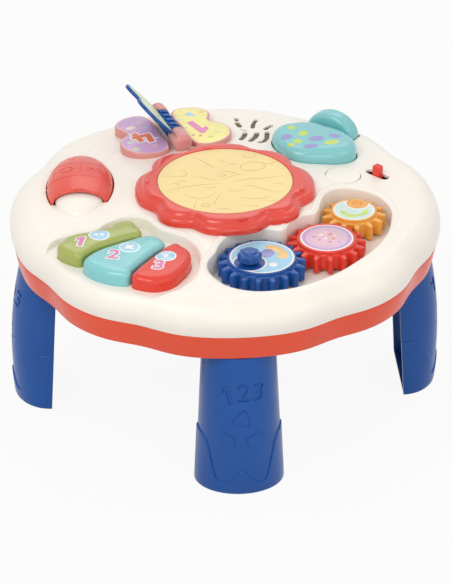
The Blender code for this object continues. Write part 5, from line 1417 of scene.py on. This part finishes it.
def fin_button():
    """The half disc that stands behind the spotted button."""
    loop = [(FIN_HALF * math.cos(math.pi * step / 40), FIN_RISE * math.sin(math.pi * step / 40))
            for step in range(41)]
    loop += [(-FIN_HALF, FIN_WAIST), (-FIN_HALF, FIN_FOOT), (FIN_HALF, FIN_FOOT),
             (FIN_HALF, FIN_WAIST)]
    fin = pillow("dressed_fin_button", loop, -FIN_THICK / 2, FIN_THICK / 2, FIN_EDGE)
    fin.data.transform(Matrix.Translation((*FIN_PLACE, FIN_BASE)) @ Matrix.Rotation(FIN_TURN, 4, "Z")
                       @ Matrix.Rotation(math.pi / 2, 4, "X"))
    ship(tidy(fin), "fin", teal_key, "fin_button", 42.0)


def round_button():
    radius = ROUND_RADIUS - 0.15 * MM
    crown = 0.35 * MM
    profile = [(radius, ROUND_FOOT), (radius, ROUND_TOP - 0.9 * MM),
               (radius - 0.1 * MM, ROUND_TOP - 0.55 * MM), (radius - 0.45 * MM, ROUND_TOP - crown)]
    profile += [(radius * (1 - share), ROUND_TOP - crown * (1 - share) ** 2)
                for share in (0.15, 0.3, 0.5, 0.7, 0.9, 1.0)]
    button = turned("dressed_round_button", profile, 96, ends=("fill", "gather"))
    ship(moved(button, ROUND_PLACE), "round", cream_skin, "round_button")


def slide_lever():
    """The red thumb piece with its sloping top and three small ridges, and its dark well."""
    parts = [slab("lever", rounded_box(0.0072, 0.0066, 0.0016, steps=5), LEVER_FOOT, LEVER_TOP,
                  1.0 * MM, 1.0 * MM)]
    parts += [slab("lever_ridge", rounded_box(0.0008, 0.0048, 0.0003, (offset * MM, 0.0)),
                   LEVER_TOP - 0.8 * MM, LEVER_TOP + RIDGE_RISE, RIDGE_RISE, RIDGE_RISE, 3)
              for offset in (-1.6, 0.0, 1.6)]
    lever = moved(gather("dressed_lever", parts), SWITCH_PLACE, SWITCH_ANGLE)
    ship(lever, "lever", red_key, "switch_lever", 42.0)
    well = slab("slide_well", rounded_box(0.0205, 0.0070, 0.0032, SWITCH_PLACE, SWITCH_ANGLE),
                WELL_FOOT, WELL_TOP, 0.3 * MM)
    ship(well, "table", black_paper)


# Gears and the crank knob

MODULE = 0.0035
GEAR_TEETH = {"blue": 18, "red": 16, "yellow": 13}
GEAR_FINISH = {"blue": (blue_gear, "leg_blue", "gear_first"),
               "red": (red_key, "bright_red", "gear_middle"),
               "yellow": (orange_gear, "gear_orange", "gear_last")}
GEAR_BOTTOM = 0.1545
TOOTH_TOP = 0.1680
LABEL_FOOT = 0.1696
GEAR_FACE = 0.1697
GEAR_LIP = 0.1700
ADDENDUM = 0.0028
DEDENDUM = 0.0035
BACKLASH = 0.0005
PRESSURE = math.radians(20)
TRAIN_ANGLES = (math.radians(26.5), math.radians(59.0))
KNOB_PLACE = (0.0110, -0.1049)
KNOB_BORE = 2.2 * MM
BORE_FOOT = 0.1690
BORE_TOP = 0.1789
DIMPLE_PLACE = (GEARS["yellow"][0] + 0.0039, GEARS["yellow"][1] + 0.0108)


def gear_phases():
    """The turn of each gear that puts its teeth in its neighbour's gaps."""
    order = ("blue", "red", "yellow")
    phases = {"blue": 0.0}
    for before, after, angle in zip(order, order[1:], TRAIN_ANGLES):
        ratio = GEAR_TEETH[before] / GEAR_TEETH[after]
        phases[after] = (angle + math.pi - (phases[before] - angle) * ratio
                         - math.pi / GEAR_TEETH[after])
    return phases


def tooth_half_angle(radius, teeth):
    pitch = MODULE * teeth / 2
    lean = math.acos(min(pitch * math.cos(PRESSURE) / radius, 1.0))
    return ((math.pi * MODULE / 2 - BACKLASH) / (2 * pitch) + (math.tan(PRESSURE) - PRESSURE)
            - (math.tan(lean) - lean))


def gear_loop(teeth, phase):
    """The outline of a gear: root, flank, rounded corner and tip of every tooth."""
    pitch = MODULE * teeth / 2
    root = pitch - DEDENDUM
    middle = pitch + 0.35 * ADDENDUM
    tip = pitch + ADDENDUM
    foot = tooth_half_angle(root, teeth) * 1.12
    flank = tooth_half_angle(middle, teeth)
    corner = tooth_half_angle(tip, teeth) * 0.80
    side = [(root, foot), ((root + middle) / 2, (foot + flank) / 2), (middle, flank)]
    side += [(middle + (tip - middle) * share, flank + (corner - flank) * share)
             for share in (0.45, 0.75)]
    side += [(tip - 0.12 * MM, corner * 0.88), (tip, corner * 0.55)]
    loop = []
    for tooth in range(teeth):
        angle = phase + 2 * math.pi * tooth / teeth
        loop += [polar(radius, angle - half) for radius, half in side]
        loop += [polar(radius, angle + half) for radius, half in side[::-1]]
    return loop


def gear(colour):
    """A toothed wheel with sloping tooth tops and a raised round face, hollow underneath."""
    teeth = GEAR_TEETH[colour]
    pitch = MODULE * teeth / 2
    root = pitch - DEDENDUM
    loop = gear_loop(teeth, gear_phases()[colour])
    rings = []
    for height, sunk, slope in ((0.0, 0.35, 0.0), (0.4, 0.0, 0.0), (11.2, 0.0, 0.0),
                                (11.9, 0.08, 0.25), (12.45, 0.30, 0.55), (12.85, 0.62, 0.8),
                                (13.15, 1.0, 1.0)):
        ring = []
        for x, y in grown(loop, -sunk * MM):
            out = fade(math.hypot(x, y), root, ADDENDUM + DEDENDUM)
            ring.append((x, y, GEAR_BOTTOM + height * MM - 1.3 * MM * slope * out))
        rings.append(ring)
    wheel = stacked(f"{colour}_wheel", rings)
    cut(wheel, rod(f"{colour}_hollow", (0.0, 0.0), root - 3.0 * MM, GEAR_BOTTOM - MM,
                   TOOTH_TOP - 1.1 * MM, 96))
    face = root - 1.1 * MM
    profile = [(face, TOOTH_TOP - 0.9 * MM)]
    profile += [(face - inward * MM, GEAR_LIP - down * MM) for inward, down in (
        (0.0, 0.75), (0.12, 0.35), (0.42, 0.08), (0.85, 0.0), (1.35, 0.05))]
    profile += [(radius, GEAR_FACE) for radius in (face - 1.6 * MM, face * 0.5, 0.0)]
    disc = turned(f"{colour}_disc", profile, 128, ends=("fill", "gather"))
    if colour == "yellow":
        spot = Vector(DIMPLE_PLACE) - Vector(GEARS["yellow"])
        cut(disc, moved(turned("dimple_tool", [(0.0, 0.1680), (2.4 * MM, 0.16815),
                                               (3.6 * MM, 0.16880), (4.5 * MM, 0.1700),
                                               (5.2 * MM, 0.1712)], 48,
                               ends=("gather", "fill")), spot))
    wheel = moved(gather(f"dressed_gear_{colour}", [wheel, disc]), GEARS[colour])
    finish, slot, body = GEAR_FINISH[colour]
    ship(wheel, body, finish, f"gear_{colour}", 38.0)


def gear_label(name, body, loop, lift, finish):
    """A printed piece that rises a few hundredths of a millimetre over a gear's face."""
    label(name, body, loop, LABEL_FOOT, GEAR_FACE + lift * HAIR, finish)


def crescent(name, middle, radius, bite_place, bite, body, lift, finish):
    """A round label with a round bite out of it, lifted like the others."""
    loop = oval(middle, 2 * radius, 2 * radius, steps=96)
    high = GEAR_FACE + lift * HAIR
    piece = slab(f"{name}_label", loop, LABEL_FOOT, high)
    cut(piece, rod("bite", bite_place, bite, LABEL_FOOT - MM, high + MM, 72))
    ship(piece, body, finish)


def along_circle(middle, radius, start, end, steps=9):
    turns = [math.radians(start + (end - start) * step / steps) for step in range(steps + 1)]
    return [(middle[0] + radius * math.cos(turn), middle[1] + radius * math.sin(turn))
            for turn in turns]


def gear_labels():
    blue, red, yellow = GEARS.values()
    crescent("blue_gear_border", blue, 0.0253, KNOB_PLACE, 0.0121, "gear_first", 11, label_white)
    crescent("blue_gear_ground", blue, 0.0238, KNOB_PLACE, 0.0138, "gear_first", 19,
             label_sky_plain)
    for name, places, finish, lift in (
            ("patch", [(0.004, 0.016), (0.012, 0.017), (0.018, 0.010), (0.021, 0.002),
                       (0.017, -0.004), (0.012, -0.001), (0.013, 0.006), (0.006, 0.010)],
             label_apricot, 24),
            ("round", [(0.001, 0.009), (0.006, 0.012), (0.010, 0.008), (0.009, 0.002),
                       (0.004, -0.001), (-0.001, 0.003)], label_violet_soft, 28),
            ("drop", [(0.004, -0.012), (0.008, -0.009), (0.011, -0.012), (0.008, -0.016)],
             label_white, 24)):
        loop = drawn([(blue[0] + x, blue[1] + y) for x, y in places], 8)
        gear_label(f"blue_gear_{name}", "gear_first", loop, lift, finish)
    for name, radius, lift, finish in (("border", 21.0, 11, label_white),
                                       ("ground", 19.5, 16, label_lilac),
                                       ("band", 16.6, 20, label_pale_lilac),
                                       ("middle", 14.6, 24, label_rose)):
        gear_label(f"red_gear_{name}", "gear_middle",
                   oval(red, 2 * radius * MM, 2 * radius * MM, steps=96), lift, finish)
    for number, (x, y, size, finish) in enumerate((
            (-4, 5, 4.6, label_cream), (3, 5, 4.2, label_orange), (-1, -1, 4.0, label_cream),
            (5, -2, 3.4, label_orange), (-6, -3, 2.8, label_magenta), (0, 9, 2.4, label_cream),
            (7, 3, 2.2, label_cream), (2, -7, 3.2, label_orange), (-10, 2, 2.6, label_violet),
            (9, -7, 2.2, label_violet))):
        loop = oval((red[0] + x * MM, red[1] + y * MM), size * MM, size * 0.7 * MM, number * 0.7, 20)
        gear_label(f"red_gear_mark_{number}", "gear_middle", loop, 30, finish)
    crescent("yellow_gear_border", yellow, 0.0164, DIMPLE_PLACE, 0.0088, "gear_last", 11,
             label_white)
    crescent("yellow_gear_ground", yellow, 0.0151, DIMPLE_PLACE, 0.0101, "gear_last", 18,
             label_mint)
    wave = [(x + 0.0010 * math.sin(9 * number), y + 0.0008 * math.cos(7 * number))
            for number, (x, y) in enumerate(along_circle(yellow, 0.0118, 190, 350, 14))]
    wave += along_circle(yellow, 0.0078, 350, 190, 14)
    gear_label("yellow_gear_wave", "gear_last", drawn(wave, 5), 24, label_lime)


def dimple_collar():
    """The raised round land round the dimple of the last gear."""
    profile = [(radius * MM, GEAR_LIP - down * MM) for radius, down in (
        (4.5, 0.6), (4.7, 0.1), (5.2, 0.0), (7.0, 0.0), (7.5, 0.2), (7.7, 0.7), (4.5, 1.0),
        (4.5, 0.6))]
    collar = moved(turned("dimple_collar", profile, 64, ends=(None, None)), DIMPLE_PLACE)
    ship(collar, "gear_last", orange_gear)


def crank_knob():
    """The fluted knob with its neck and a raised round top."""
    levels = ((5.2, 0.0, 170.35), (5.2, 0.0, 171.5), (7.9, 0.25, 172.0), (8.55, 0.5, 172.5),
              (8.8, 0.7, 173.2), (8.8, 0.7, 177.2), (8.65, 0.65, 178.0), (8.2, 0.5, 178.6),
              (7.5, 0.25, 178.95), (6.6, 0.05, 179.1), (6.0, 0.0, 179.15), (5.75, 0.0, 179.6),
              (5.6, 0.0, 180.3), (5.3, 0.0, 180.75), (4.7, 0.0, 180.97), (3.2, 0.0, 181.0),
              (1.6, 0.0, 181.0), (0.1, 0.0, 181.0))
    rings = []
    for radius, wave, height in levels:
        ring = []
        for step in range(128):
            turn = 2 * math.pi * step / 128
            swell = math.cos(8 * turn)
            swell = math.copysign(abs(swell) ** 0.7, swell)
            ring.append((*polar((radius + wave * swell) * MM, turn), height * MM))
        rings.append(ring)
    knob = stacked("dressed_crank_knob", rings, ends=("fill", "gather"))
    cut(knob, rod("knob_bore", (0.0, 0.0), KNOB_BORE, BORE_FOOT, BORE_TOP, 40))
    ship(moved(knob, KNOB_PLACE), "knob", blue_gear, "crank_knob", 38.0)


# Book with two fixed boards and a turning page

BOOK_ANGLE = math.radians(106.4)
BOOK_OFFSET = 0.0050
BOOK_AXIS = 0.1794
BOOK_START = 0.0800
BOOK_SIZE = 0.0680
BOARD_FOOT = 0.1694
BOARD_TOP = 0.1772
BOARD_EDGE = 0.0014
HUB_START = 0.0990
HUB_END = 0.1350
HUB_RADIUS = 5.1 * MM
RIB_RADIUS = 6.5 * MM
PAGE_LEAN = math.radians(48)
PAGE_FIT = 0.9975
PAGE_THICK = 3.0 * MM
PIN_BORE = 1.8 * MM
BOARD_SHARES = thousandths(
    (110, 155), (20, 215), (-8, 415), (62, 575), (200, 680), (375, 690), (495, 625), (590, 530),
    (665, 560), (795, 605), (930, 530), (995, 390), (985, 220), (900, 155), (500, 148))
PAGE_SHARES = thousandths(
    (315, 40), (315, 150), (130, 165), (40, 300), (60, 460), (160, 600), (310, 665), (460, 640),
    (575, 590), (660, 660), (790, 680), (900, 600), (950, 440), (925, 250), (870, 160), (775, 145),
    (775, 40))


def book_point(along, away):
    left = BOOK_OFFSET + away
    return (along * math.cos(BOOK_ANGLE) - left * math.sin(BOOK_ANGLE),
            along * math.sin(BOOK_ANGLE) + left * math.cos(BOOK_ANGLE))


def board_loop(side, grow=0.0):
    points = [book_point(BOOK_START + BOOK_SIZE * along, side * BOOK_SIZE * away)
              for along, away in BOARD_SHARES]
    return grown(drawn(points, 6), grow)


def book_boards():
    for name, side, ground in (("left", 1, label_purple), ("right", -1, label_lemon)):
        board = slab(f"dressed_board_{name}", board_loop(side), BOARD_FOOT, BOARD_TOP, BOARD_EDGE)
        ship(board, "table", pink_book, f"book_board_{name}")
        for part, inset, lift, finish in (("edge", -1.3, 0.06, label_pink_edge),
                                          ("print", -2.1, 0.13, ground)):
            label(f"board_{name}_{part}", "table", board_loop(side, inset * MM),
                  BOARD_TOP - 0.2 * MM, BOARD_TOP + lift * MM, finish)
    for digit, place, size, ink, border, degrees in (
            ("4", (-0.0604, 0.0947), 0.0270, label_orange, label_white, -66.8 - 90),
            ("1", (-0.0150, 0.1105), 0.0310, label_magenta_soft, label_lemon, -62.0 - 90)):
        sign_on("table", place, size, digit, lambda x, y: BOARD_TOP + 0.13 * MM, ink, border,
                degrees)
    board_marks()


BOARD_MARKS = (
    (-69.5, 113.0, 8.5, 5.0, 25, "cream"), (-61.8, 122.0, 5.0, 4.0, 10, "rose"),
    (-57.1, 113.0, 3.6, 3.0, 0, "sky"), (-70.0, 87.6, 7.5, 4.4, 10, "mint"),
    (-66.6, 75.6, 5.0, 6.0, 15, "leaf"), (-50.9, 81.4, 6.0, 4.4, 30, "rose"),
    (-50.0, 94.2, 6.0, 3.6, 10, "mint"),
    (-19.9, 134.0, 6.4, 6.0, 30, "sky"), (-15.8, 132.0, 3.4, 3.0, -30, "sky"),
    (-31.2, 132.0, 5.0, 3.2, 0, "leaf"), (-28.4, 124.6, 2.4, 4.0, 10, "mint"),
    (1.5, 101.5, 5.6, 3.4, -20, "leaf"), (-18.7, 96.9, 2.4, 3.0, 0, "magenta"),
    (-13.0, 95.2, 3.0, 2.6, 0, "orange"), (-9.5, 138.0, 5.0, 3.4, 20, "apricot"),
    (-4.6, 93.0, 5.0, 3.0, 10, "lime"), (-24.5, 110.0, 4.0, 2.6, 60, "leaf"),
)


def board_marks():
    inks = {"cream": label_cream, "rose": label_rose, "magenta": label_magenta,
            "leaf": label_leaf, "mint": label_mint, "sky": label_sky_plain,
            "orange": label_orange, "apricot": label_apricot, "lime": label_lime}
    for number, (x, y, width, depth, turn, ink) in enumerate(BOARD_MARKS):
        loop = oval((x * MM, y * MM), width * MM, depth * MM, math.radians(turn), 24)
        label(f"board_mark_{number}", "table", loop, BOARD_TOP - 0.1 * MM,
              BOARD_TOP + 0.19 * MM, inks[ink])


def along_hinge(piece):
    piece.data.transform(Matrix.Translation((*book_point(0.0, 0.0), BOOK_AXIS))
                         @ Matrix.Rotation(BOOK_ANGLE, 4, "Z")
                         @ Matrix.Rotation(math.pi / 2, 4, "Y"))
    return piece


def barrel(name, radius, flat_end, round_end):
    """A short round barrel along the hinge, flat at the hub and rounded at its far end."""
    way = 1 if round_end > flat_end else -1
    profile = [(0.0, flat_end), (radius * 0.93, flat_end), (radius, flat_end + way * radius * 0.1)]
    bulge = radius * 0.62
    for step in range(11):
        turn = math.pi / 2 * step / 10
        profile.append((max(radius * math.cos(turn) ** 0.75, 0.0),
                        round_end - way * bulge * (1 - math.sin(turn))))
    piece = turned(f"dressed_{name}", profile, 72, ends=("gather", "gather"))
    hole = sorted((flat_end, flat_end + way * 4.5 * MM))
    cut(piece, rod("hole", (0.0, 0.0), PIN_BORE, hole[0] - 0.0001, hole[1] + 0.0001, 32))
    ship(tidy(along_hinge(piece)), "table", pink_book, name)


def page():
    """The turning page with its ribbed hub and a print on each face."""
    points = [(BOOK_START + BOOK_SIZE * along, BOOK_SIZE * away * PAGE_FIT)
              for along, away in PAGE_SHARES]
    loop = drawn(points, 6)
    sheet = pillow("page_sheet", loop, -PAGE_THICK / 2, PAGE_THICK / 2, 0.9 * MM, 4)
    lean = (Matrix.Translation((*book_point(0.0, 0.0), BOOK_AXIS))
            @ Matrix.Rotation(BOOK_ANGLE, 4, "Z") @ Matrix.Rotation(PAGE_LEAN, 4, "X"))
    sheet.data.transform(lean)
    step = (HUB_END - HUB_START) / 9
    profile = [(0.0, HUB_START)]
    for rib in range(9):
        start = HUB_START + rib * step
        end = start + step
        if rib % 2 == 0:
            profile += [(RIB_RADIUS - 0.15 * MM, start + 0.05 * MM), (RIB_RADIUS, start + 0.4 * MM),
                        (RIB_RADIUS, end - 0.4 * MM), (RIB_RADIUS - 0.15 * MM, end - 0.05 * MM)]
        else:
            profile += [(HUB_RADIUS, start), (HUB_RADIUS, end)]
    profile.append((0.0, HUB_END))
    hub = turned("page_hub", profile, 64, ends=("gather", "gather"))
    cut(hub, rod("hub_bore", (0.0, 0.0), PIN_BORE, HUB_START - MM, HUB_END + MM, 32))
    ship(gather("dressed_page", [sheet, along_hinge(hub)]), "page", blue_leg,
         "page_blue")
    inner = grown([spot for spot in loop if spot[1] > 0.0095], -2.4 * MM)
    for name, low, high, finish in (("upper", 1.3, 1.58, label_leaf),
                                    ("lower", -1.58, -1.3, label_pale_lilac)):
        sticker = slab(f"page_{name}_label", inner, low * MM, high * MM)
        sticker.data.transform(lean)
        ship(sticker, "page", finish, degrees=0)
    teeth = []
    for number in range(5):
        start = HUB_START + 2 * number * step
        for side in (1, -1):
            teeth.append(slab("page_rib", rounded_box(
                step * 0.8, 0.0036, 0.0008, (start + step / 2, 0.0071)),
                side * 1.9 * MM - 0.7 * MM, side * 1.9 * MM + 0.7 * MM, 0.3 * MM, 0.3 * MM, 3))
            teeth[-1].data.transform(lean)
    ship(gather("page_comb", teeth), "page", blue_leg)


# Raised lips and small relief marks on the cream top

def raised_lip(name, loop, near, far, rise):
    """A soft raised band that follows an outline on the table's top and sinks at the shoulder."""
    rings = []
    for step in range(-1, 11):
        share = min(max(step / 9, 0.0), 1.0)
        lift = rise * math.sin(math.pi * share) ** 1.4 + 0.015 * MM
        if step < 0 or step > 9:
            lift = -0.9 * MM
        ring = []
        for x, y in on_shoulder(grown(loop, near + (far - near) * share), (1.5 + 1.5 * share) * MM):
            sunk = fade(math.hypot(x, y), 0.1400, 9 * MM)
            ring.append((x, y, top_at(x, y) + min(lift, lift * (1 - sunk)) - 1.2 * MM * sunk))
        rings.append(ring)
    lip = stacked(name, rings + rings[:1], ends=(None, None))
    ship(lip, "table", cream_skin, degrees=50.0)


RELIEF_LINES = (
    ((-144, 62), (-138, 60), (-131, 58)), ((-148, 44), (-141, 42), (-135, 41)),
    ((-151, 27), (-146, 26), (-142, 25)), ((-129, 82), (-123, 80), (-116, 79)),
    ((-110, 88), (-103, 88), (-98, 91), (-95, 88)), ((-92, 71), (-88, 80), (-84, 84)),
    ((-76, 31), (-70, 26), (-76, 20), (-83, 22), (-84, 28)), ((-77, 28), (-73, 24)),
    ((-152, -8), (-146, -12), (-150, -18)), ((-148, -40), (-141, -44), (-143, -50), (-149, -52)),
    ((-23, -80), (-18, -83), (-12, -80)), ((-20, -150), (-12, -153), (-4, -151), (2, -154)),
    ((44, -152), (50, -148), (56, -150)), ((84, -128), (89, -122), (96, -122), (99, -116)),
    ((122, -92), (128, -86), (126, -80)), ((142, -48), (147, -42), (144, -36), (149, -30)),
    ((150, -2), (146, 4), (151, 10)),
    ((84, 13), (88, 10), (92, 13)),
    ((141, 66), (135, 72), (137, 78)), ((129, 50), (136, 44), (141, 47)),
    ((-24, 70), (-20, 73), (-15, 70)), ((22, 78), (28, 81), (33, 78)),
    ((64, 132), (70, 136), (76, 132)), ((-6, 152), (2, 155), (10, 152)),
    ((-96, 122), (-88, 126), (-84, 121)), ((-62, 146), (-54, 149), (-48, 145)),
)
RELIEF_ROUNDS = ((-75, -25, 11, 9), (136, -62, 8, 7), (104, -104, 8, 7),
                 (40, 148, 9, 7), (-98, 100, 12, 5))


def relief_marks():
    """Small raised strokes and rounds scattered over the cream top."""
    marks = [stroke("relief_line", [(x * MM, y * MM) for x, y in line], 1.3 * MM, taper=0.75)
             for line in RELIEF_LINES]
    marks += [stroke("relief_round", oval((x * MM, y * MM), width * MM, depth * MM, 0.3 * number,
                                          14), 1.2 * MM, closed=True)
              for number, (x, y, width, depth) in enumerate(RELIEF_ROUNDS)]
    for mark in marks:
        laid(mark, lambda x, y: top_at(x, y) - 0.05 * MM, 0.55)
    ship(gather("casing_relief_marks", marks), "table", cream_skin, degrees=60.0)


# Pieces that stay as the CAD gives them

HIDDEN_FINISHES = {
    "red_skirt_plastic": "battery_door", "green_circuit_board": "circuit_board",
    "white_button_plastic": "drum_contact", "black_speaker_cone": "speaker",
    "dark_cell_wrap": "cell_1 cell_2 cell_3",
    "steel_pin_and_screw": "switch_body book_pin crank_pin door_screw gear_pin_blue gear_pin_red"
                           " gear_pin_yellow casing_screw_1 casing_screw_2 casing_screw_3"
                           " casing_screw_4"}


def dress_hidden_pieces():
    for finish, nodes in HIDDEN_FINISHES.items():
        for node in nodes.split():
            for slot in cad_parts[node].material_slots:
                slot.material = bpy.data.materials[finish]


# Floor, lamps and camera

CAMERA_PLACE = (-0.1928, -2.5293, 1.5555)
CAMERA_AIM = (0.0007, -0.0001, 0.0834)
FOCAL_PIXELS = 3612.0
PICTURE = (452, 584)
PURE_WHITE = (1.0, 1.0, 1.0, 1.0)


def seen_share(tree):
    """1 where the camera looks straight or by a reflection, 0 for all other light."""
    ray = added(tree, "LightPath")
    return worked_out(tree, "MAXIMUM", ray.outputs["Is Camera Ray"], ray.outputs["Is Glossy Ray"])


def studio_floor():
    """A wide floor, plain white to the camera and pale grey to the object."""
    drop_all()
    bpy.ops.mesh.primitive_plane_add(size=30.0, location=(0.0, 0.0, 0.0))
    floor = set_place(named("studio_floor"))
    material = bpy.data.materials.new("studio_floor")
    material.use_nodes = True
    tree = material.node_tree
    shader = feed(tree, tree.nodes["Principled BSDF"], {
        "Roughness": 0.9, "Specular IOR Level": 0.1, "Base Color": (0.72, 0.71, 0.70, 1.0)})
    white = added(tree, "Emission", Color=PURE_WHITE, Strength=1.0)
    share = worked_out(tree, "MULTIPLY", seen_share(tree), 0.92)
    mix = feed(tree, tree.nodes.new("ShaderNodeMixShader"),
               {0: share, 1: shader.outputs[0], 2: white.outputs[0]})
    feed(tree, tree.nodes["Material Output"], {"Surface": mix.outputs[0]})
    floor.data.materials.append(material)


def studio_world():
    """Even soft light from all round, white where the camera looks past the floor."""
    world = bpy.data.worlds.new("studio")
    bpy.context.scene.world = world
    world.use_nodes = True
    tree = world.node_tree
    ground = feed(tree, tree.nodes["Background"], {"Color": (1.0, 0.99, 0.98, 1.0),
                                                   "Strength": 0.68})
    plain = added(tree, "Background", Color=PURE_WHITE, Strength=1.0)
    mix = feed(tree, tree.nodes.new("ShaderNodeMixShader"),
               {0: seen_share(tree), 1: ground.outputs[0], 2: plain.outputs[0]})
    feed(tree, tree.nodes["World Output"], {"Surface": mix.outputs[0]})


def aimed(name, data, place, aim):
    """A lamp or camera that stands at a place and looks at another."""
    item = bpy.data.objects.new(name, data)
    bpy.context.scene.collection.objects.link(item)
    item.location = place
    item.rotation_euler = (Vector(aim) - Vector(place)).to_track_quat("-Z", "Y").to_euler()
    return item


def lamp(name, place, aim, size, power):
    light = bpy.data.lights.new(name, "AREA")
    light.shape = "RECTANGLE"
    light.size = size[0]
    light.size_y = size[1]
    light.energy = power
    light.color = (1.0, 0.985, 0.96)
    aimed(name, light, place, aim)


def studio_camera():
    view = bpy.data.cameras.new("camera")
    view.sensor_width = 36.0
    view.lens = FOCAL_PIXELS / max(PICTURE) * view.sensor_width
    view.clip_end = 50.0
    bpy.context.scene.camera = aimed("camera", view, CAMERA_PLACE, CAMERA_AIM)


# Everything in place

casing_top()
casing_skirt()
grille_back()
raised_lip("tray_lip", TRAY_LOOP, 1.5 * MM, 6.0 * MM, 0.75 * MM)
raised_lip("recess_lip", RECESS_LOOP, 1.7 * MM, 5.0 * MM, 0.5 * MM)
relief_marks()
shell_nose()
legs()
drum_ring()
drum_pad()
drum_lines()
# Painted shade in the gap round the drum pad
drum_seam()
keys()
shell_button()
spotted_button()
fin_button()
round_button()
slide_lever()
for shade in GEARS:
    gear(shade)
gear_labels()
dimple_collar()
crank_knob()
book_boards()
barrel("book_barrel_front", 0.0082, 0.0987, 0.0800)
barrel("book_barrel_back", 0.0072, 0.1353, 0.1500)
page()
dress_hidden_pieces()
studio_floor()
studio_world()
lamp("soft_key", (-1.1, -1.2, 2.0), (0.0, 0.0, 0.15), (1.4, 1.0), 16.6)
lamp("soft_fill", (1.6, -1.4, 1.5), (0.0, 0.0, 0.12), (1.2, 1.2), 6.0)
lamp("soft_back", (0.3, 1.7, 1.8), (0.0, 0.0, 0.15), (1.6, 0.8), 5.5)
lamp("soft_front", (0.1, -2.2, 0.9), (0.0, 0.0, 0.12), (1.0, 0.6), 4.0)
studio_camera()
bpy.context.scene.view_settings.view_transform = "Standard"
